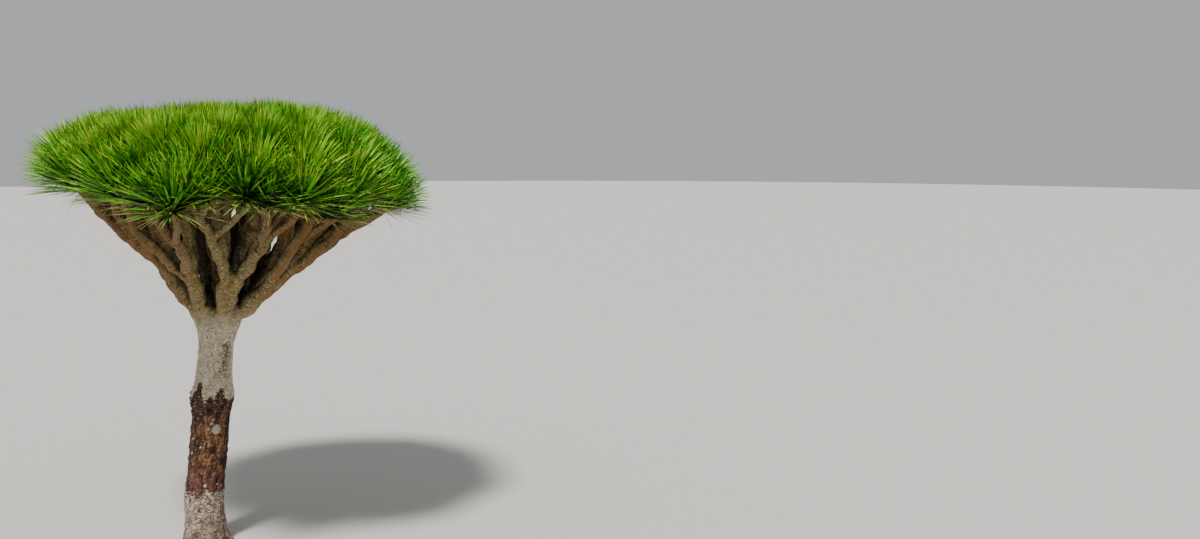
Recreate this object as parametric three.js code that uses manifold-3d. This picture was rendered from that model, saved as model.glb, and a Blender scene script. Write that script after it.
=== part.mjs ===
// A dragon blood tree: one leaning trunk that parts all at once into a fan of boughs, like the ribs of an
// umbrella blown inside out. Every bough forks in two again and again, and carries a tuft of stiff sword
// leaves at each tip, so that the tips together make one dense shallow dome.
// Millimetres, +Z up. The origin is the middle of the flat cut under the trunk, at ground level.
import * as THREE from "three";
import { ConvexGeometry } from "three/addons/geometries/ConvexGeometry.js";
import { mergeVertices } from "three/addons/utils/BufferGeometryUtils.js";
import Module from "manifold-3d";

const wasm = await Module();
wasm.setup();

// Driving dimensions
const SEED = 3;
const GAP = 0.3; // clearance where one solid sits on the next
const FORK = new THREE.Vector3(222, 0, 2560); // middle of the trunk's top, where the boughs part
const UPRIGHT = 560; // the trunk stands straight up to here, and leans from here on
const FOOT_RADIUS = 216;
const NECK_RADIUS = 192;
const FORK_RADIUS = 218;
const FLARE = 74; // what the root flare adds to the radius at the ground
const FLARE_HEIGHT = 110; // the flare fades by a factor of e over this height
const FLARE_LOBES = 5;
const SCAR_TOP = 1690; // the upper lip of the old band of cut bark, where the trunk is swollen
const SCAR_LIP = 24;
const SCAR_LIP_HEIGHT = 95;

const CROWN = new THREE.Vector2(465, 0); // middle of the crown, in plan
const RIM_RADIUS = 1650; // from there to the outermost leaf tufts' feet
const DOME_TOP = 4465; // height of the tufts' feet at the highest place of the crown
const DOME_SHIFT = 270; // that place lies this far to the +X side of the middle
const DOME_DROP = 500; // how much lower the feet stand at the rim
const DOME_LEAN = 0.3; // share by which the rim drops more on the +X side, and less on the -X side
const DOME_POWER = 4.3; // flat on top, and steep towards the rim
const CROWN_ROOT = new THREE.Vector3(340, 0, 1600); // the tufts all point away from here
const TUFT_COUNT = 210; // growing tips on the living tree
const TUFT_JITTER = 46;
const GOLDEN_ANGLE = Math.PI * (3 - Math.sqrt(5));

const OUTER_BOUGHS = 8;
const OUTER_HEADING = 4; // degrees from +X to the middle of the first outer bough's share
const INNER_BOUGHS = 3;
const INNER_HEADING = 30;
const INNER_REACH = 0.5; // tufts within this share of the rim grow on the inner boughs
const OUTER_ROOT = 114; // distance of the bough roots from the middle of the trunk's top
const INNER_ROOT = 44;
const FIRST_FORK = 0.24; // forks, as a share of the way from the trunk's top to the tufts
const SECOND_FORK = 0.8;
const FORK_JITTER = 0.07;
const SAG = 120; // halfway to the tufts, limbs hang this far under the straight line
const SAG_LEAN = 0.55; // share by which they hang lower on the +X side, and less low on the -X side
const SPLAY = 0.5; // how much flatter than its aim an outer bough sets out
const OUTWARD = 0.68; // a limb runs this far outside the middle of what it carries
const UPTURN = 150; // limbs aim this far under the tufts, and their tips then turn up
const BOUGH_SIDES = 8;
const LIMB_SIDES = 6;
const KINK = 30; // limbs waver by this much
const SET_OUT = 0.36; // share of its length over which a limb bends away from its parent's heading
const FORK_APART = 0.26; // limbs of a fork start this share of the parent's radius beside its middle
const TIP_RADIUS = 36; // radius of a limb that carries a single tuft
const THICKENING = 0.33; // a limb's radius grows with this power of the tufts it carries

const STEM = 130; // length of the stem that carries a mass, on from the bough's tip
const LEAF_LENGTH = 555;
const LEAF_WIDTH = 88;
const LEAF_THICKNESS = 9;
const LEAF_WIDEST = 0.58; // share of the length from the root to the widest place
const TOP_LEAVES = 2; // leaves of a tuft on top of the crown, each standing for many
const RIM_LEAVES = 5; // and of a tuft at its rim
const RIM_SHARE = 0.87; // the rim begins at this share of its radius
const LEAF_OPEN = 0.26; // from this share of its length on, a leaf keeps clear of the rest of its mass
const LEAF_CLEARANCE = 50;
const LEAF_ATTEMPTS = 40;
const LEAF_RISE = 90; // and it stands at least this far above the dome
const LEAF_DROOP = 110; // or beyond the rim, no further than this below its root
const LEAF_SINK = 0.2; // how far its root lies towards the middle of the mass
const CORE_ABOVE = 80; // the core of a mass reaches this far over its tufts' feet
const CORE_BELOW = 45;
const CELL_MARGIN = 7; // leaves keep this far inside the space of their mass
const SLIVER = 1.9; // edges shorter than this are merged when the parts of a mass are fused

const DEGREE = Math.PI / 180;
const UP = new THREE.Vector3(0, 0, 1);
const BARK = new THREE.MeshStandardMaterial({ color: 0x9c8a68, roughness: 0.9, metalness: 0 });
const YOUNG_BARK = new THREE.MeshStandardMaterial({ color: 0x8f7d55, roughness: 0.85, metalness: 0 });
const LEAF_GREEN = new THREE.MeshStandardMaterial({ color: 0x4c8a1c, roughness: 0.55, metalness: 0 });

/** A fixed number from -1 to 1 for each pair of whole numbers: the tree's only chance. */
function scatter(index, kind) {
  const wave = Math.sin(index * 12.9898 + kind * 78.233 + SEED * 37.719) * 4375.8545;
  return 2 * (wave - Math.floor(wave)) - 1;
}

// The crown: where each tuft of leaves stands

/** Height of the dome on which the tufts' feet stand, at a place in plan. */
function domeHeight(x, y) {
  const out = new THREE.Vector2(x - CROWN.x - DOME_SHIFT, y - CROWN.y);
  const distance = Math.max(out.length(), 1);
  const along = (DOME_SHIFT * out.x) / distance;
  const toRim = Math.sqrt(along ** 2 + RIM_RADIUS ** 2 - DOME_SHIFT ** 2) - along;
  const drop = DOME_DROP * (1 + (DOME_LEAN * (x - CROWN.x)) / RIM_RADIUS);
  return DOME_TOP - drop * (distance / toRim) ** DOME_POWER;
}

function domePoint(heading, reach, lower = 0) {
  const x = CROWN.x + reach * Math.cos(heading);
  const y = CROWN.y + reach * Math.sin(heading);
  return new THREE.Vector3(x, y, domeHeight(x, y) - lower);
}

/** The tufts' feet, set like the seeds of a sunflower and then moved a little. */
function tuftFeet() {
  return Array.from({ length: TUFT_COUNT }, (_, i) => {
    const reach = RIM_RADIUS * Math.sqrt((i + 0.5) / TUFT_COUNT) + TUFT_JITTER * scatter(i, 1);
    const heading = i * GOLDEN_ANGLE + (TUFT_JITTER / RIM_RADIUS) * scatter(i, 2);
    const foot = domePoint(heading, Math.min(reach, RIM_RADIUS), 0.6 * TUFT_JITTER * scatter(i, 3));
    return { index: i, foot, reach: Math.min(reach, RIM_RADIUS) };
  });
}

function headingOf(point) {
  return Math.atan2(point.y - CROWN.y, point.x - CROWN.x);
}

function mean(tufts) {
  const sum = new THREE.Vector3();
  tufts.forEach((tuft) => sum.add(tuft.foot));
  return sum.divideScalar(tufts.length);
}

/** Two halves of a group of tufts, parted across a direction in plan given as an angle. */
function halves(tufts, angle) {
  const along = (tuft) => tuft.foot.x * Math.cos(angle) + tuft.foot.y * Math.sin(angle);
  const sorted = [...tufts].sort((a, b) => along(a) - along(b));
  const middle = Math.round(sorted.length / 2);
  return [sorted.slice(0, middle), sorted.slice(middle)];
}

/** The direction in plan along which a group of tufts is longest. */
function longestAngle(tufts) {
  const centre = mean(tufts);
  let xx = 0;
  let xy = 0;
  let yy = 0;
  tufts.forEach(({ foot }) => {
    xx += (foot.x - centre.x) ** 2;
    xy += (foot.x - centre.x) * (foot.y - centre.y);
    yy += (foot.y - centre.y) ** 2;
  });
  return 0.5 * Math.atan2(2 * xy, xx - yy);
}

/** Tufts parted by their heading into equal sectors, the first of them about a given heading. */
function sectors(tufts, count, firstHeading) {
  const groups = Array.from({ length: count }, () => []);
  tufts.forEach((tuft) => {
    const turn = (count * (headingOf(tuft.foot) - firstHeading * DEGREE)) / (2 * Math.PI) + 0.5;
    groups[Math.floor(turn + 2 * count) % count].push(tuft);
  });
  return groups;
}

/** The tufts that each first bough carries: the inner ones, then the outer ones. */
function firstGroups(tufts) {
  const isInner = (tuft) => tuft.reach < INNER_REACH * RIM_RADIUS;
  const inner = sectors(tufts.filter(isInner), INNER_BOUGHS, INNER_HEADING);
  return [...inner, ...sectors(tufts.filter((tuft) => !isInner(tuft)), OUTER_BOUGHS, OUTER_HEADING)];
}

// The limbs: each runs from its parent's end towards the tufts it carries

function limbRadius(tuftCount) {
  return TIP_RADIUS * tuftCount ** THICKENING;
}

/** A distance from the crown's middle: that of the tufts' mean, moved some way out to the furthest one's. */
function outerReach(tufts, outward) {
  const centre = mean(tufts);
  const reaches = tufts.map((tuft) => Math.hypot(tuft.foot.x - CROWN.x, tuft.foot.y - CROWN.y));
  const middle = Math.hypot(centre.x - CROWN.x, centre.y - CROWN.y);
  return middle + outward * (Math.max(...reaches) - middle);
}

/** Where a limb that carries these tufts aims: under them, and towards their outer side. */
function aim(tufts) {
  return domePoint(headingOf(mean(tufts)), outerReach(tufts, OUTWARD), UPTURN);
}

/** A place on the sagging way from the trunk's top to a target. */
function towards(target, share) {
  const sag = SAG * (1 + (SAG_LEAN * (target.x - CROWN.x)) / RIM_RADIUS);
  return FORK.clone().lerp(target, share).addScaledVector(UP, -4 * sag * share * (1 - share));
}

/** Points along a limb that leaves in one direction and bends over to its end, with small kinks. */
function limbPath(start, leaving, end, steps, id) {
  const length = start.distanceTo(end);
  const control = start.clone().addScaledVector(leaving, SET_OUT * length);
  const curve = new THREE.QuadraticBezierCurve3(start, control, end);
  const points = curve.getPoints(steps);
  const side = new THREE.Vector3().crossVectors(end.clone().sub(start), UP).normalize();
  const over = new THREE.Vector3().crossVectors(side, end.clone().sub(start)).normalize();
  points.slice(1, -1).forEach((point, k) => {
    point.addScaledVector(side, KINK * scatter(id, 20 + k));
    point.addScaledVector(over, 0.6 * KINK * scatter(id, 40 + k));
  });
  const heading = points[steps].clone().sub(points[steps - 1]).normalize();
  return { points, heading };
}

/** A limb from a parent's end, with the ends of its path and its radii. */
function growLimb(tufts, start, leaving, startRadius, share, id, steps) {
  const target = aim(tufts);
  const end = towards(target, share + FORK_JITTER * scatter(id, 5));
  const onward = end.clone().sub(start).normalize();
  const out = leaving.clone().lerp(onward, 0.6).normalize();
  const { points, heading } = limbPath(start, out, end, steps, id);
  return { tufts, points, heading, startRadius, endRadius: limbRadius(tufts.length), onward, id };
}

/** Start points of the two limbs of a fork: a little apart, each on its own side of the parent's end. */
function forkStarts(parent, groups) {
  const end = parent.points.at(-1);
  return groups.map((group) => {
    const apart = aim(group).sub(end);
    apart.addScaledVector(parent.heading, -apart.dot(parent.heading)).normalize();
    return end.clone().addScaledVector(apart, FORK_APART * parent.endRadius);
  });
}

function fork(parent, angle, share, steps) {
  const groups = halves(parent.tufts, angle);
  const starts = forkStarts(parent, groups);
  return groups.map((group, k) => {
    const radius = 1.04 * limbRadius(group.length);
    return growLimb(group, starts[k], parent.heading, radius, share, parent.id * 2 + k + 1, steps);
  });
}

function firstBoughs(groups) {
  return groups.map((group, k) => {
    const target = aim(group);
    const out = new THREE.Vector3(target.x - FORK.x, target.y - FORK.y, 0).normalize();
    const inner = k < INNER_BOUGHS;
    const start = FORK.clone().addScaledVector(out, inner ? INNER_ROOT : OUTER_ROOT);
    const leaving = target.clone().sub(start).normalize();
    if (!inner) leaving.lerp(out, SPLAY).normalize();
    return growLimb(group, start, leaving, 1.12 * limbRadius(group.length), FIRST_FORK, k + 1, 4);
  });
}

// Solids

function solidOf(geometry) {
  const bare = new THREE.BufferGeometry().setAttribute("position", geometry.getAttribute("position"));
  bare.setIndex(geometry.index);
  const merged = mergeVertices(bare, 1e-3);
  const mesh = new wasm.Mesh({
    numProp: 3,
    vertProperties: new Float32Array(merged.attributes.position.array),
    triVerts: new Uint32Array(merged.index.array),
  });
  return new wasm.Manifold(mesh);
}

function geometryOf(solid) {
  const { vertProperties, triVerts } = solid.getMesh();
  return new THREE.BufferGeometry()
    .setAttribute("position", new THREE.BufferAttribute(vertProperties, 3))
    .setIndex(new THREE.BufferAttribute(triVerts, 1));
}

/** A closed body through rings of points, each ring as long as the others, with a flat fan at each end. */
function loft(rings) {
  const sides = rings[0].length;
  const points = rings.flat();
  const faces = [];
  for (let r = 0; r + 1 < rings.length; r++) {
    for (let s = 0; s < sides; s++) {
      const a = r * sides + s;
      const b = r * sides + ((s + 1) % sides);
      faces.push(a, b, b + sides, a, b + sides, a + sides);
    }
  }
  const last = (rings.length - 1) * sides;
  for (let s = 1; s + 1 < sides; s++) {
    faces.push(0, s + 1, s);
    faces.push(last, last + s, last + s + 1);
  }
  const geometry = new THREE.BufferGeometry().setFromPoints(points);
  geometry.setIndex(faces);
  return geometry;
}

/** Rings of a round tube along points; the ring at each point stands square to the path there. */
function tubeRings(points, radii, sides) {
  const reach = points.at(-1).clone().sub(points[0]);
  const reference = Math.abs(reach.clone().normalize().z) > 0.97 ? new THREE.Vector3(1, 0, 0) : UP;
  return points.map((point, k) => {
    const before = points[Math.max(k - 1, 0)];
    const after = points[Math.min(k + 1, points.length - 1)];
    const along = after.clone().sub(before).normalize();
    const side = new THREE.Vector3().crossVectors(reference, along).normalize();
    const over = new THREE.Vector3().crossVectors(along, side);
    return Array.from({ length: sides }, (_, s) => {
      const angle = (2 * Math.PI * s) / sides;
      return point.clone()
        .addScaledVector(side, radii[k] * Math.cos(angle))
        .addScaledVector(over, radii[k] * Math.sin(angle));
    });
  });
}

/** A tapering tube along points. */
function tube(points, startRadius, endRadius, sides) {
  const radii = points.map((_, k) => THREE.MathUtils.lerp(startRadius, endRadius, k / (points.length - 1)));
  return solidOf(loft(tubeRings(points, radii, sides)));
}

/** What is left of a solid on the side of a plane that its normal points to, a little clear of the plane. */
function keepSide(solid, point, normal, clear) {
  const size = 4000;
  const centre = point.clone().addScaledVector(normal, clear - size / 2);
  const turn = new THREE.Quaternion().setFromUnitVectors(UP, normal);
  const block = new THREE.BoxGeometry(size, size, size).applyQuaternion(turn).translate(...centre);
  return solid.subtract(solidOf(block));
}

/** The tube of a limb, which runs back into its parent. */
function limbTube(limb, sides) {
  const [first, second] = limb.points;
  const back = first.clone().addScaledVector(second.clone().sub(first).normalize(), -1.4 * limb.startRadius);
  return tube([back, ...limb.points], limb.startRadius, limb.endRadius, sides);
}

/** A limb's solid: its tube, cut square at the parent's end and between siblings. */
function limbSolid(limb, parentEnd, parentHeading, siblings, sides) {
  let solid = keepSide(limbTube(limb, sides), parentEnd, parentHeading, GAP);
  siblings.filter((other) => other !== limb).forEach((other) => {
    const between = limb.points[0].clone().add(other.points[0]).multiplyScalar(0.5);
    const normal = limb.onward.clone().sub(other.onward).normalize();
    solid = keepSide(solid, between, normal, GAP / 2);
  });
  return largestPiece(solid);
}

function largestPiece(solid) {
  return solid.decompose().reduce((best, piece) => (piece.volume() > best.volume() ? piece : best));
}

/** The solids as one body, without the slivers and sealed pockets that crossing parts leave. */
function fused(solids) {
  const joined = wasm.Manifold.union(solids).asOriginal().simplify(SLIVER);
  return largestPiece(solidOf(geometryOf(largestPiece(joined))));
}

// The trunk

function trunkCentre(height) {
  const leaning = Math.max(0, (height - UPRIGHT) / (FORK.z - UPRIGHT));
  return new THREE.Vector3(FORK.x * leaning ** 0.9, FORK.y * leaning, height);
}

function trunkRadius(height, angle) {
  const taper = THREE.MathUtils.smoothstep(height, SCAR_TOP, SCAR_TOP + 420);
  const widen = THREE.MathUtils.smoothstep(height, FORK.z - 300, FORK.z);
  const lobes = 1 + 0.3 * Math.cos(FLARE_LOBES * angle + 0.4);
  const flare = FLARE * lobes * Math.exp(-height / FLARE_HEIGHT);
  const lip = SCAR_LIP * Math.exp(-(((height - SCAR_TOP) / SCAR_LIP_HEIGHT) ** 2));
  const stem = FOOT_RADIUS + (NECK_RADIUS - FOOT_RADIUS) * taper + (FORK_RADIUS - NECK_RADIUS) * widen;
  return stem + flare + lip;
}

function trunk() {
  const heights = [0, 45, 110, 220, 400, 700, 1150, 1530, 1640, 1740, 1850, 2110, 2320, 2450, FORK.z];
  const sides = 16;
  const rings = heights.map((height) => {
    const centre = trunkCentre(height);
    return Array.from({ length: sides }, (_, s) => {
      const angle = (2 * Math.PI * s) / sides;
      const radius = trunkRadius(height, angle);
      return centre.clone().add(new THREE.Vector3(radius * Math.cos(angle), radius * Math.sin(angle), 0));
    });
  });
  return loft(rings);
}

// The leaf masses: each is a stem that forks to four tufts, their leaves, and a core that they stand out of

/** The way a tuft points: away from the crown's root. */
function tuftAxis(foot) {
  return foot.clone().sub(CROWN_ROOT).normalize();
}

/** The mass whose middle lies nearest in direction, as seen from the crown's root. */
function ownerOf(point, views) {
  const axis = tuftAxis(point);
  const nearness = views.map((view) => view.dot(axis));
  return nearness.indexOf(Math.max(...nearness));
}

/** Gives each tuft to the mass whose middle is nearest, so that every mass has a space of its own. */
function shareOut(masses) {
  const tufts = masses.flatMap((mass) => mass.tufts);
  const views = masses.map((mass) => tuftAxis(mean(mass.tufts)));
  masses.forEach((mass, m) => {
    mass.tufts = tufts.filter((tuft) => ownerOf(tuft.foot, views) === m);
  });
  return views;
}

/** A stiff sword leaf: four edges that run from the root to the widest place and on to the tip. */
function leafGeometry({ line, direction, across }) {
  const thin = new THREE.Vector3().crossVectors(direction, across).normalize();
  const middle = line.at(LEAF_WIDEST, new THREE.Vector3());
  const points = [
    line.start,
    middle.clone().addScaledVector(across, LEAF_WIDTH / 2),
    middle.clone().addScaledVector(thin, LEAF_THICKNESS / 2),
    middle.clone().addScaledVector(across, -LEAF_WIDTH / 2),
    middle.clone().addScaledVector(thin, -LEAF_THICKNESS / 2),
    line.end,
  ];
  const geometry = new THREE.BufferGeometry().setFromPoints(points);
  geometry.setIndex([0, 2, 1, 0, 3, 2, 0, 4, 3, 0, 1, 4, 5, 1, 2, 5, 2, 3, 5, 3, 4, 5, 4, 1]);
  return geometry;
}

/** A direction square to an axis. */
function levelSide(axis) {
  return new THREE.Vector3(0, 1, 0.2).cross(axis).normalize();
}

/** A leaf of a tuft: its spread is the angle from the tuft's axis, and its turn the angle round it. */
function leafOf(foot, root, spread, turn, length) {
  const axis = tuftAxis(foot);
  const round = levelSide(axis).applyAxisAngle(axis, turn);
  const out = axis.clone().multiplyScalar(Math.cos(spread)).addScaledVector(round, Math.sin(spread));
  const line = new THREE.Line3(root, foot.clone().addScaledVector(out, length));
  const direction = line.delta(new THREE.Vector3()).normalize();
  return { line, direction, across: new THREE.Vector3().crossVectors(direction, axis).normalize() };
}

/** True if the leaf, taken as wide as it is, stays in its own mass's space and above the dome. */
function staysInside({ line, across }, views, m) {
  return [0.3, 0.5, 0.7, 0.85, 1].every((share) => [-1, 1].every((side) => {
    const half = (LEAF_WIDTH / 2) * Math.min(1, (1 - share) / (1 - LEAF_WIDEST)) + CELL_MARGIN;
    const point = line.at(share, new THREE.Vector3()).addScaledVector(across, side * half);
    const beyond = Math.hypot(point.x - CROWN.x, point.y - CROWN.y) > RIM_RADIUS;
    const lowest = beyond ? line.start.z - LEAF_DROOP : domeHeight(point.x, point.y) + LEAF_RISE;
    return point.z > lowest && ownerOf(point, views) === m;
  }));
}

/** True if the open part of the leaf keeps clear of the leaves that stand already. */
function keepsClear({ line }, leaves) {
  const openPart = (whole) => new THREE.Line3(whole.at(LEAF_OPEN, new THREE.Vector3()), whole.end);
  const open = openPart(line);
  return leaves.every((other) => open.distanceSqToLine3(openPart(other.line)) > LEAF_CLEARANCE ** 2);
}

/** The leaves of a mass: round by round, each tuft gets a leaf that is more spread than its last one. */
function massLeaves({ tufts }, views, m) {
  const leaves = [];
  const middle = mean(tufts);
  for (let round = 0; round < RIM_LEAVES; round++) {
    tufts.forEach(({ index, foot, reach }) => {
      if (round >= TOP_LEAVES && reach < RIM_SHARE * RIM_RADIUS) return;
      const id = 10 * index + round;
      const root = foot.clone().lerp(middle, LEAF_SINK);
      for (let attempt = 0; attempt < LEAF_ATTEMPTS; attempt++) {
        const open = 8 + (72 * round) / (RIM_LEAVES - 1) + 16 * scatter(id, attempt);
        const spread = Math.abs(open) * (1 - 0.5 * (attempt / LEAF_ATTEMPTS)) * DEGREE;
        const turn = Math.PI * scatter(id, 50 + attempt);
        const leaf = leafOf(foot, root, spread, turn, LEAF_LENGTH * (1 + 0.04 * scatter(id, 99)));
        if (staysInside(leaf, views, m) && keepsClear(leaf, leaves)) {
          leaves.push(leaf);
          break;
        }
      }
    });
  }
  return leaves;
}

/** The core: a thin dome round the feet of the mass's tufts. */
function coreGeometry({ tufts }) {
  return new ConvexGeometry(tufts.flatMap(({ foot }) => {
    const axis = tuftAxis(foot);
    return [CORE_ABOVE, -CORE_BELOW].map((rise) => foot.clone().addScaledVector(axis, rise));
  }));
}

function twig(start, end, tufts) {
  const radius = limbRadius(tufts.length);
  return tube([start, end], radius, 0.85 * radius, 3);
}

/** The stem and twigs of a mass: the stem sits on the bough's end, and twigs run from it to the tufts. */
function massTwigs({ bough, tufts }) {
  const along = (distance) => bough.points.at(-1).clone().addScaledVector(bough.heading, distance);
  const stem = tube([along(GAP), along(STEM)], bough.endRadius, 0.85 * bough.endRadius, 6);
  const quarters = halves(tufts, longestAngle(tufts)).flatMap((half) => halves(half, longestAngle(half)));
  return [stem, ...quarters.map((quarter) => twig(along(0.6 * STEM), mean(quarter), quarter))];
}

function massGeometry(mass, views, m) {
  const leaves = massLeaves(mass, views, m);
  const parts = [...massTwigs(mass), solidOf(coreGeometry(mass))];
  parts.push(...leaves.map((leaf) => solidOf(leafGeometry(leaf))));
  return geometryOf(fused(parts));
}

// The whole tree

const tree = new THREE.Group();
tree.name = "dragon_blood_tree";

function add(name, geometry, material) {
  const mesh = new THREE.Mesh(geometry, material);
  mesh.name = name;
  tree.add(mesh);
}

add("trunk", trunk(), BARK);
const first = firstBoughs(firstGroups(tuftFeet()));
const masses = [];
first.forEach((bough, k) => {
  const inner = k < INNER_BOUGHS;
  const place = inner ? `inner_${k + 1}` : `outer_${k - INNER_BOUGHS + 1}`;
  add(`bough_${place}`, geometryOf(limbSolid(bough, FORK, UP, first, BOUGH_SIDES)), BARK);
  const across = inner ? longestAngle(bough.tufts) : headingOf(mean(bough.tufts)) + Math.PI / 2;
  const second = fork(bough, across, SECOND_FORK, 4);
  second.forEach((limb, side) => {
    const label = `${place}${"ab"[side]}`;
    const solid = limbSolid(limb, bough.points.at(-1), bough.heading, second, LIMB_SIDES);
    add(`limb_${label}`, geometryOf(solid), YOUNG_BARK);
    masses.push({ label, bough: limb, tufts: limb.tufts });
  });
});
const views = shareOut(masses);
masses.forEach((mass, m) => add(`leaves_${mass.label}`, massGeometry(mass, views, m), LEAF_GREEN));

export default tree;
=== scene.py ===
"""A dragon blood tree: its looks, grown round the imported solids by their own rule.

The trunk, boughs and twigs are modelled meshes with the bark's relief, and the crown is made of
leaf tufts, each a spiral of stiff sword leaves. Metres, +Z up, with the origin at ground level
under the trunk.
"""

import math
from functools import partial
from types import SimpleNamespace

import bpy
import numpy as np
from bpy.props import FloatProperty, FloatVectorProperty, IntProperty, PointerProperty
from mathutils import Color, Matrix, Vector, bvhtree, kdtree, noise


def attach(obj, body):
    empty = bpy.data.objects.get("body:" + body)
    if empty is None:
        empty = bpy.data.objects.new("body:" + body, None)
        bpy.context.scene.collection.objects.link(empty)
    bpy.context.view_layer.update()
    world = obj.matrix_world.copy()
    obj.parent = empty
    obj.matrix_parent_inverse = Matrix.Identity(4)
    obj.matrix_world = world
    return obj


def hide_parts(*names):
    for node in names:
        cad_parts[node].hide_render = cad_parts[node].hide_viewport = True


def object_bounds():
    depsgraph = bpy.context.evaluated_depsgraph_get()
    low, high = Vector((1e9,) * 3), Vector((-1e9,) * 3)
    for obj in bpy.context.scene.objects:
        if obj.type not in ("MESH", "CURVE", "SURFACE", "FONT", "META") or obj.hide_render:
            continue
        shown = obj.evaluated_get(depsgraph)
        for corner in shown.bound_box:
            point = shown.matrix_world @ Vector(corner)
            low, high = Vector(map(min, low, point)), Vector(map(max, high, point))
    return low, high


bl_info = {
    "name": "Dragon Blood Tree",
    "version": (1, 0, 0),
    "blender": (4, 5, 0),
    "location": "3D View > Sidebar > Tree",
    "description": "Grows a dragon blood tree round its solids: bark, boughs, twigs and leaf tufts",
    "category": "Add Mesh",
}

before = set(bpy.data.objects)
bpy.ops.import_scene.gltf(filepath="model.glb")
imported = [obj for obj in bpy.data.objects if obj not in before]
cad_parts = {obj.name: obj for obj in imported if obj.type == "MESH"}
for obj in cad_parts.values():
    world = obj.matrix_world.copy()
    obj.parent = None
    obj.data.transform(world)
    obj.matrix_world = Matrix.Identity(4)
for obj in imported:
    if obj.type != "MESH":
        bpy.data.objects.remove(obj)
CAD_BOX = [list(corner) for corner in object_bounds()]

UP = np.array([0.0, 0.0, 1.0])
NEARLY_UP = UP + 0.01  # along no limb, so that every limb has a side to it
GOLDEN_ANGLE = math.pi * (3 - math.sqrt(5))


# Sizes and colours


def length(name, default, description):
    return FloatProperty(
        name=name, description=description, default=default, unit="LENGTH", precision=4
    )


def share(name, default, description):
    return FloatProperty(name=name, description=description, default=default)


def count(name, default, description):
    return IntProperty(name=name, description=description, default=default, min=1)


def linear(hex_colour):
    """The linear RGB of an sRGB colour written as six hex digits."""
    channels = [int(hex_colour[i : i + 2], 16) / 255 for i in (0, 2, 4)]
    return tuple(c / 12.92 if c <= 0.04045 else ((c + 0.055) / 1.055) ** 2.4 for c in channels)


def colour(name, hex_colour, description):
    return FloatVectorProperty(
        name=name, description=description, default=linear(hex_colour), subtype="COLOR", size=3
    )


class TrunkSizes(bpy.types.PropertyGroup):
    """The trunk's profile, as in the solid."""

    fork_x: length("Lean", 0.222, "How far the trunk's top stands to one side of its foot")
    fork_z: length("Height", 2.56, "Height at which the boughs part")
    upright: length("Upright", 0.56, "The trunk stands straight up to here")
    foot_radius: length("Foot radius", 0.216, "Radius above the root flare")
    neck_radius: length("Neck radius", 0.192, "Radius above the scarred band")
    fork_radius: length("Fork radius", 0.218, "Radius at the trunk's top")
    flare: length("Root flare", 0.074, "What the flare adds to the radius at the ground")
    flare_height: length("Flare height", 0.11, "The flare fades by a factor of e over this height")
    flare_lobes: count("Flare lobes", 5, "Roots that swell the trunk's foot")
    scar_top: length("Scar top", 1.69, "Height of the scarred band's upper lip")
    scar_foot: length("Scar foot", 0.60, "Height at which the scarred band ends below")
    scar_lip: length("Scar lip", 0.024, "How far the upper lip stands out")
    scar_lip_height: length("Lip height", 0.095, "Half the height of the swelling at the lip")


class CrownSizes(bpy.types.PropertyGroup):
    """The dome on which the leaf tufts stand, as in the solids."""

    seed: count("Seed", 3, "Picks another tree of the same kind")
    middle_x: length("Middle", 0.465, "Middle of the crown, to one side of the trunk's foot")
    rim_radius: length("Rim radius", 1.65, "From the middle to the outermost tufts' feet")
    dome_top: length("Dome top", 4.465, "Height of the highest tufts' feet")
    dome_shift: length("Dome shift", 0.27, "The highest place lies this far from the middle")
    dome_drop: length("Dome drop", 0.5, "How much lower the feet stand at the rim")
    dome_lean: share("Dome lean", 0.3, "Share by which the rim drops more on one side")
    dome_power: share("Dome power", 4.3, "Flat on top, and steep towards the rim")
    root_x: length("Root, across", 0.34, "The tufts point away from a point this far to one side")
    root_z: length("Root, height", 1.6, "And at this height")
    tufts: count("Tufts", 210, "Growing tips on the tree")
    jitter: length("Tuft jitter", 0.046, "How far a tuft stands from its even place")


class BoughSizes(bpy.types.PropertyGroup):
    """How the boughs fork: the source's rule, and how it is carried on to finer twigs."""

    outer: count("Outer boughs", 8, "Boughs that carry the rim of the crown")
    outer_heading: share("Outer heading", 4.0, "Degrees to the middle of the first outer bough")
    inner: count("Inner boughs", 3, "Boughs that carry the middle of the crown")
    inner_heading: share("Inner heading", 30.0, "Degrees to the middle of the first inner bough")
    inner_reach: share("Inner reach", 0.5, "Share of the rim radius that the inner boughs carry")
    outer_root: length("Outer root", 0.114, "Outer boughs start this far from the trunk's middle")
    inner_root: length("Inner root", 0.044, "Inner boughs start this far from the trunk's middle")
    first_fork: share("First fork", 0.24, "Where boughs fork, as a share of the way to the tufts")
    second_fork: share("Second fork", 0.8, "Where limbs end, as a share of the way")
    fork_jitter: share("Fork jitter", 0.07, "How much that share varies")
    sag: length("Sag", 0.12, "Halfway to the tufts, limbs hang this far under the straight line")
    sag_lean: share("Sag lean", 0.55, "Share by which they hang lower on one side")
    splay: share("Splay", 0.5, "How much flatter than its aim an outer bough sets out")
    outward: share("Outward", 0.68, "How far outside the middle of its tufts a limb runs")
    upturn: length("Upturn", 0.15, "Limbs aim this far under the tufts")
    kink: length("Kink", 0.03, "Limbs waver by this much")
    tip_radius: length("Tip radius", 0.036, "Radius of a twig that carries one tuft")
    thickening: share("Thickening", 0.33, "A limb's radius grows with this power of its tufts")


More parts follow.
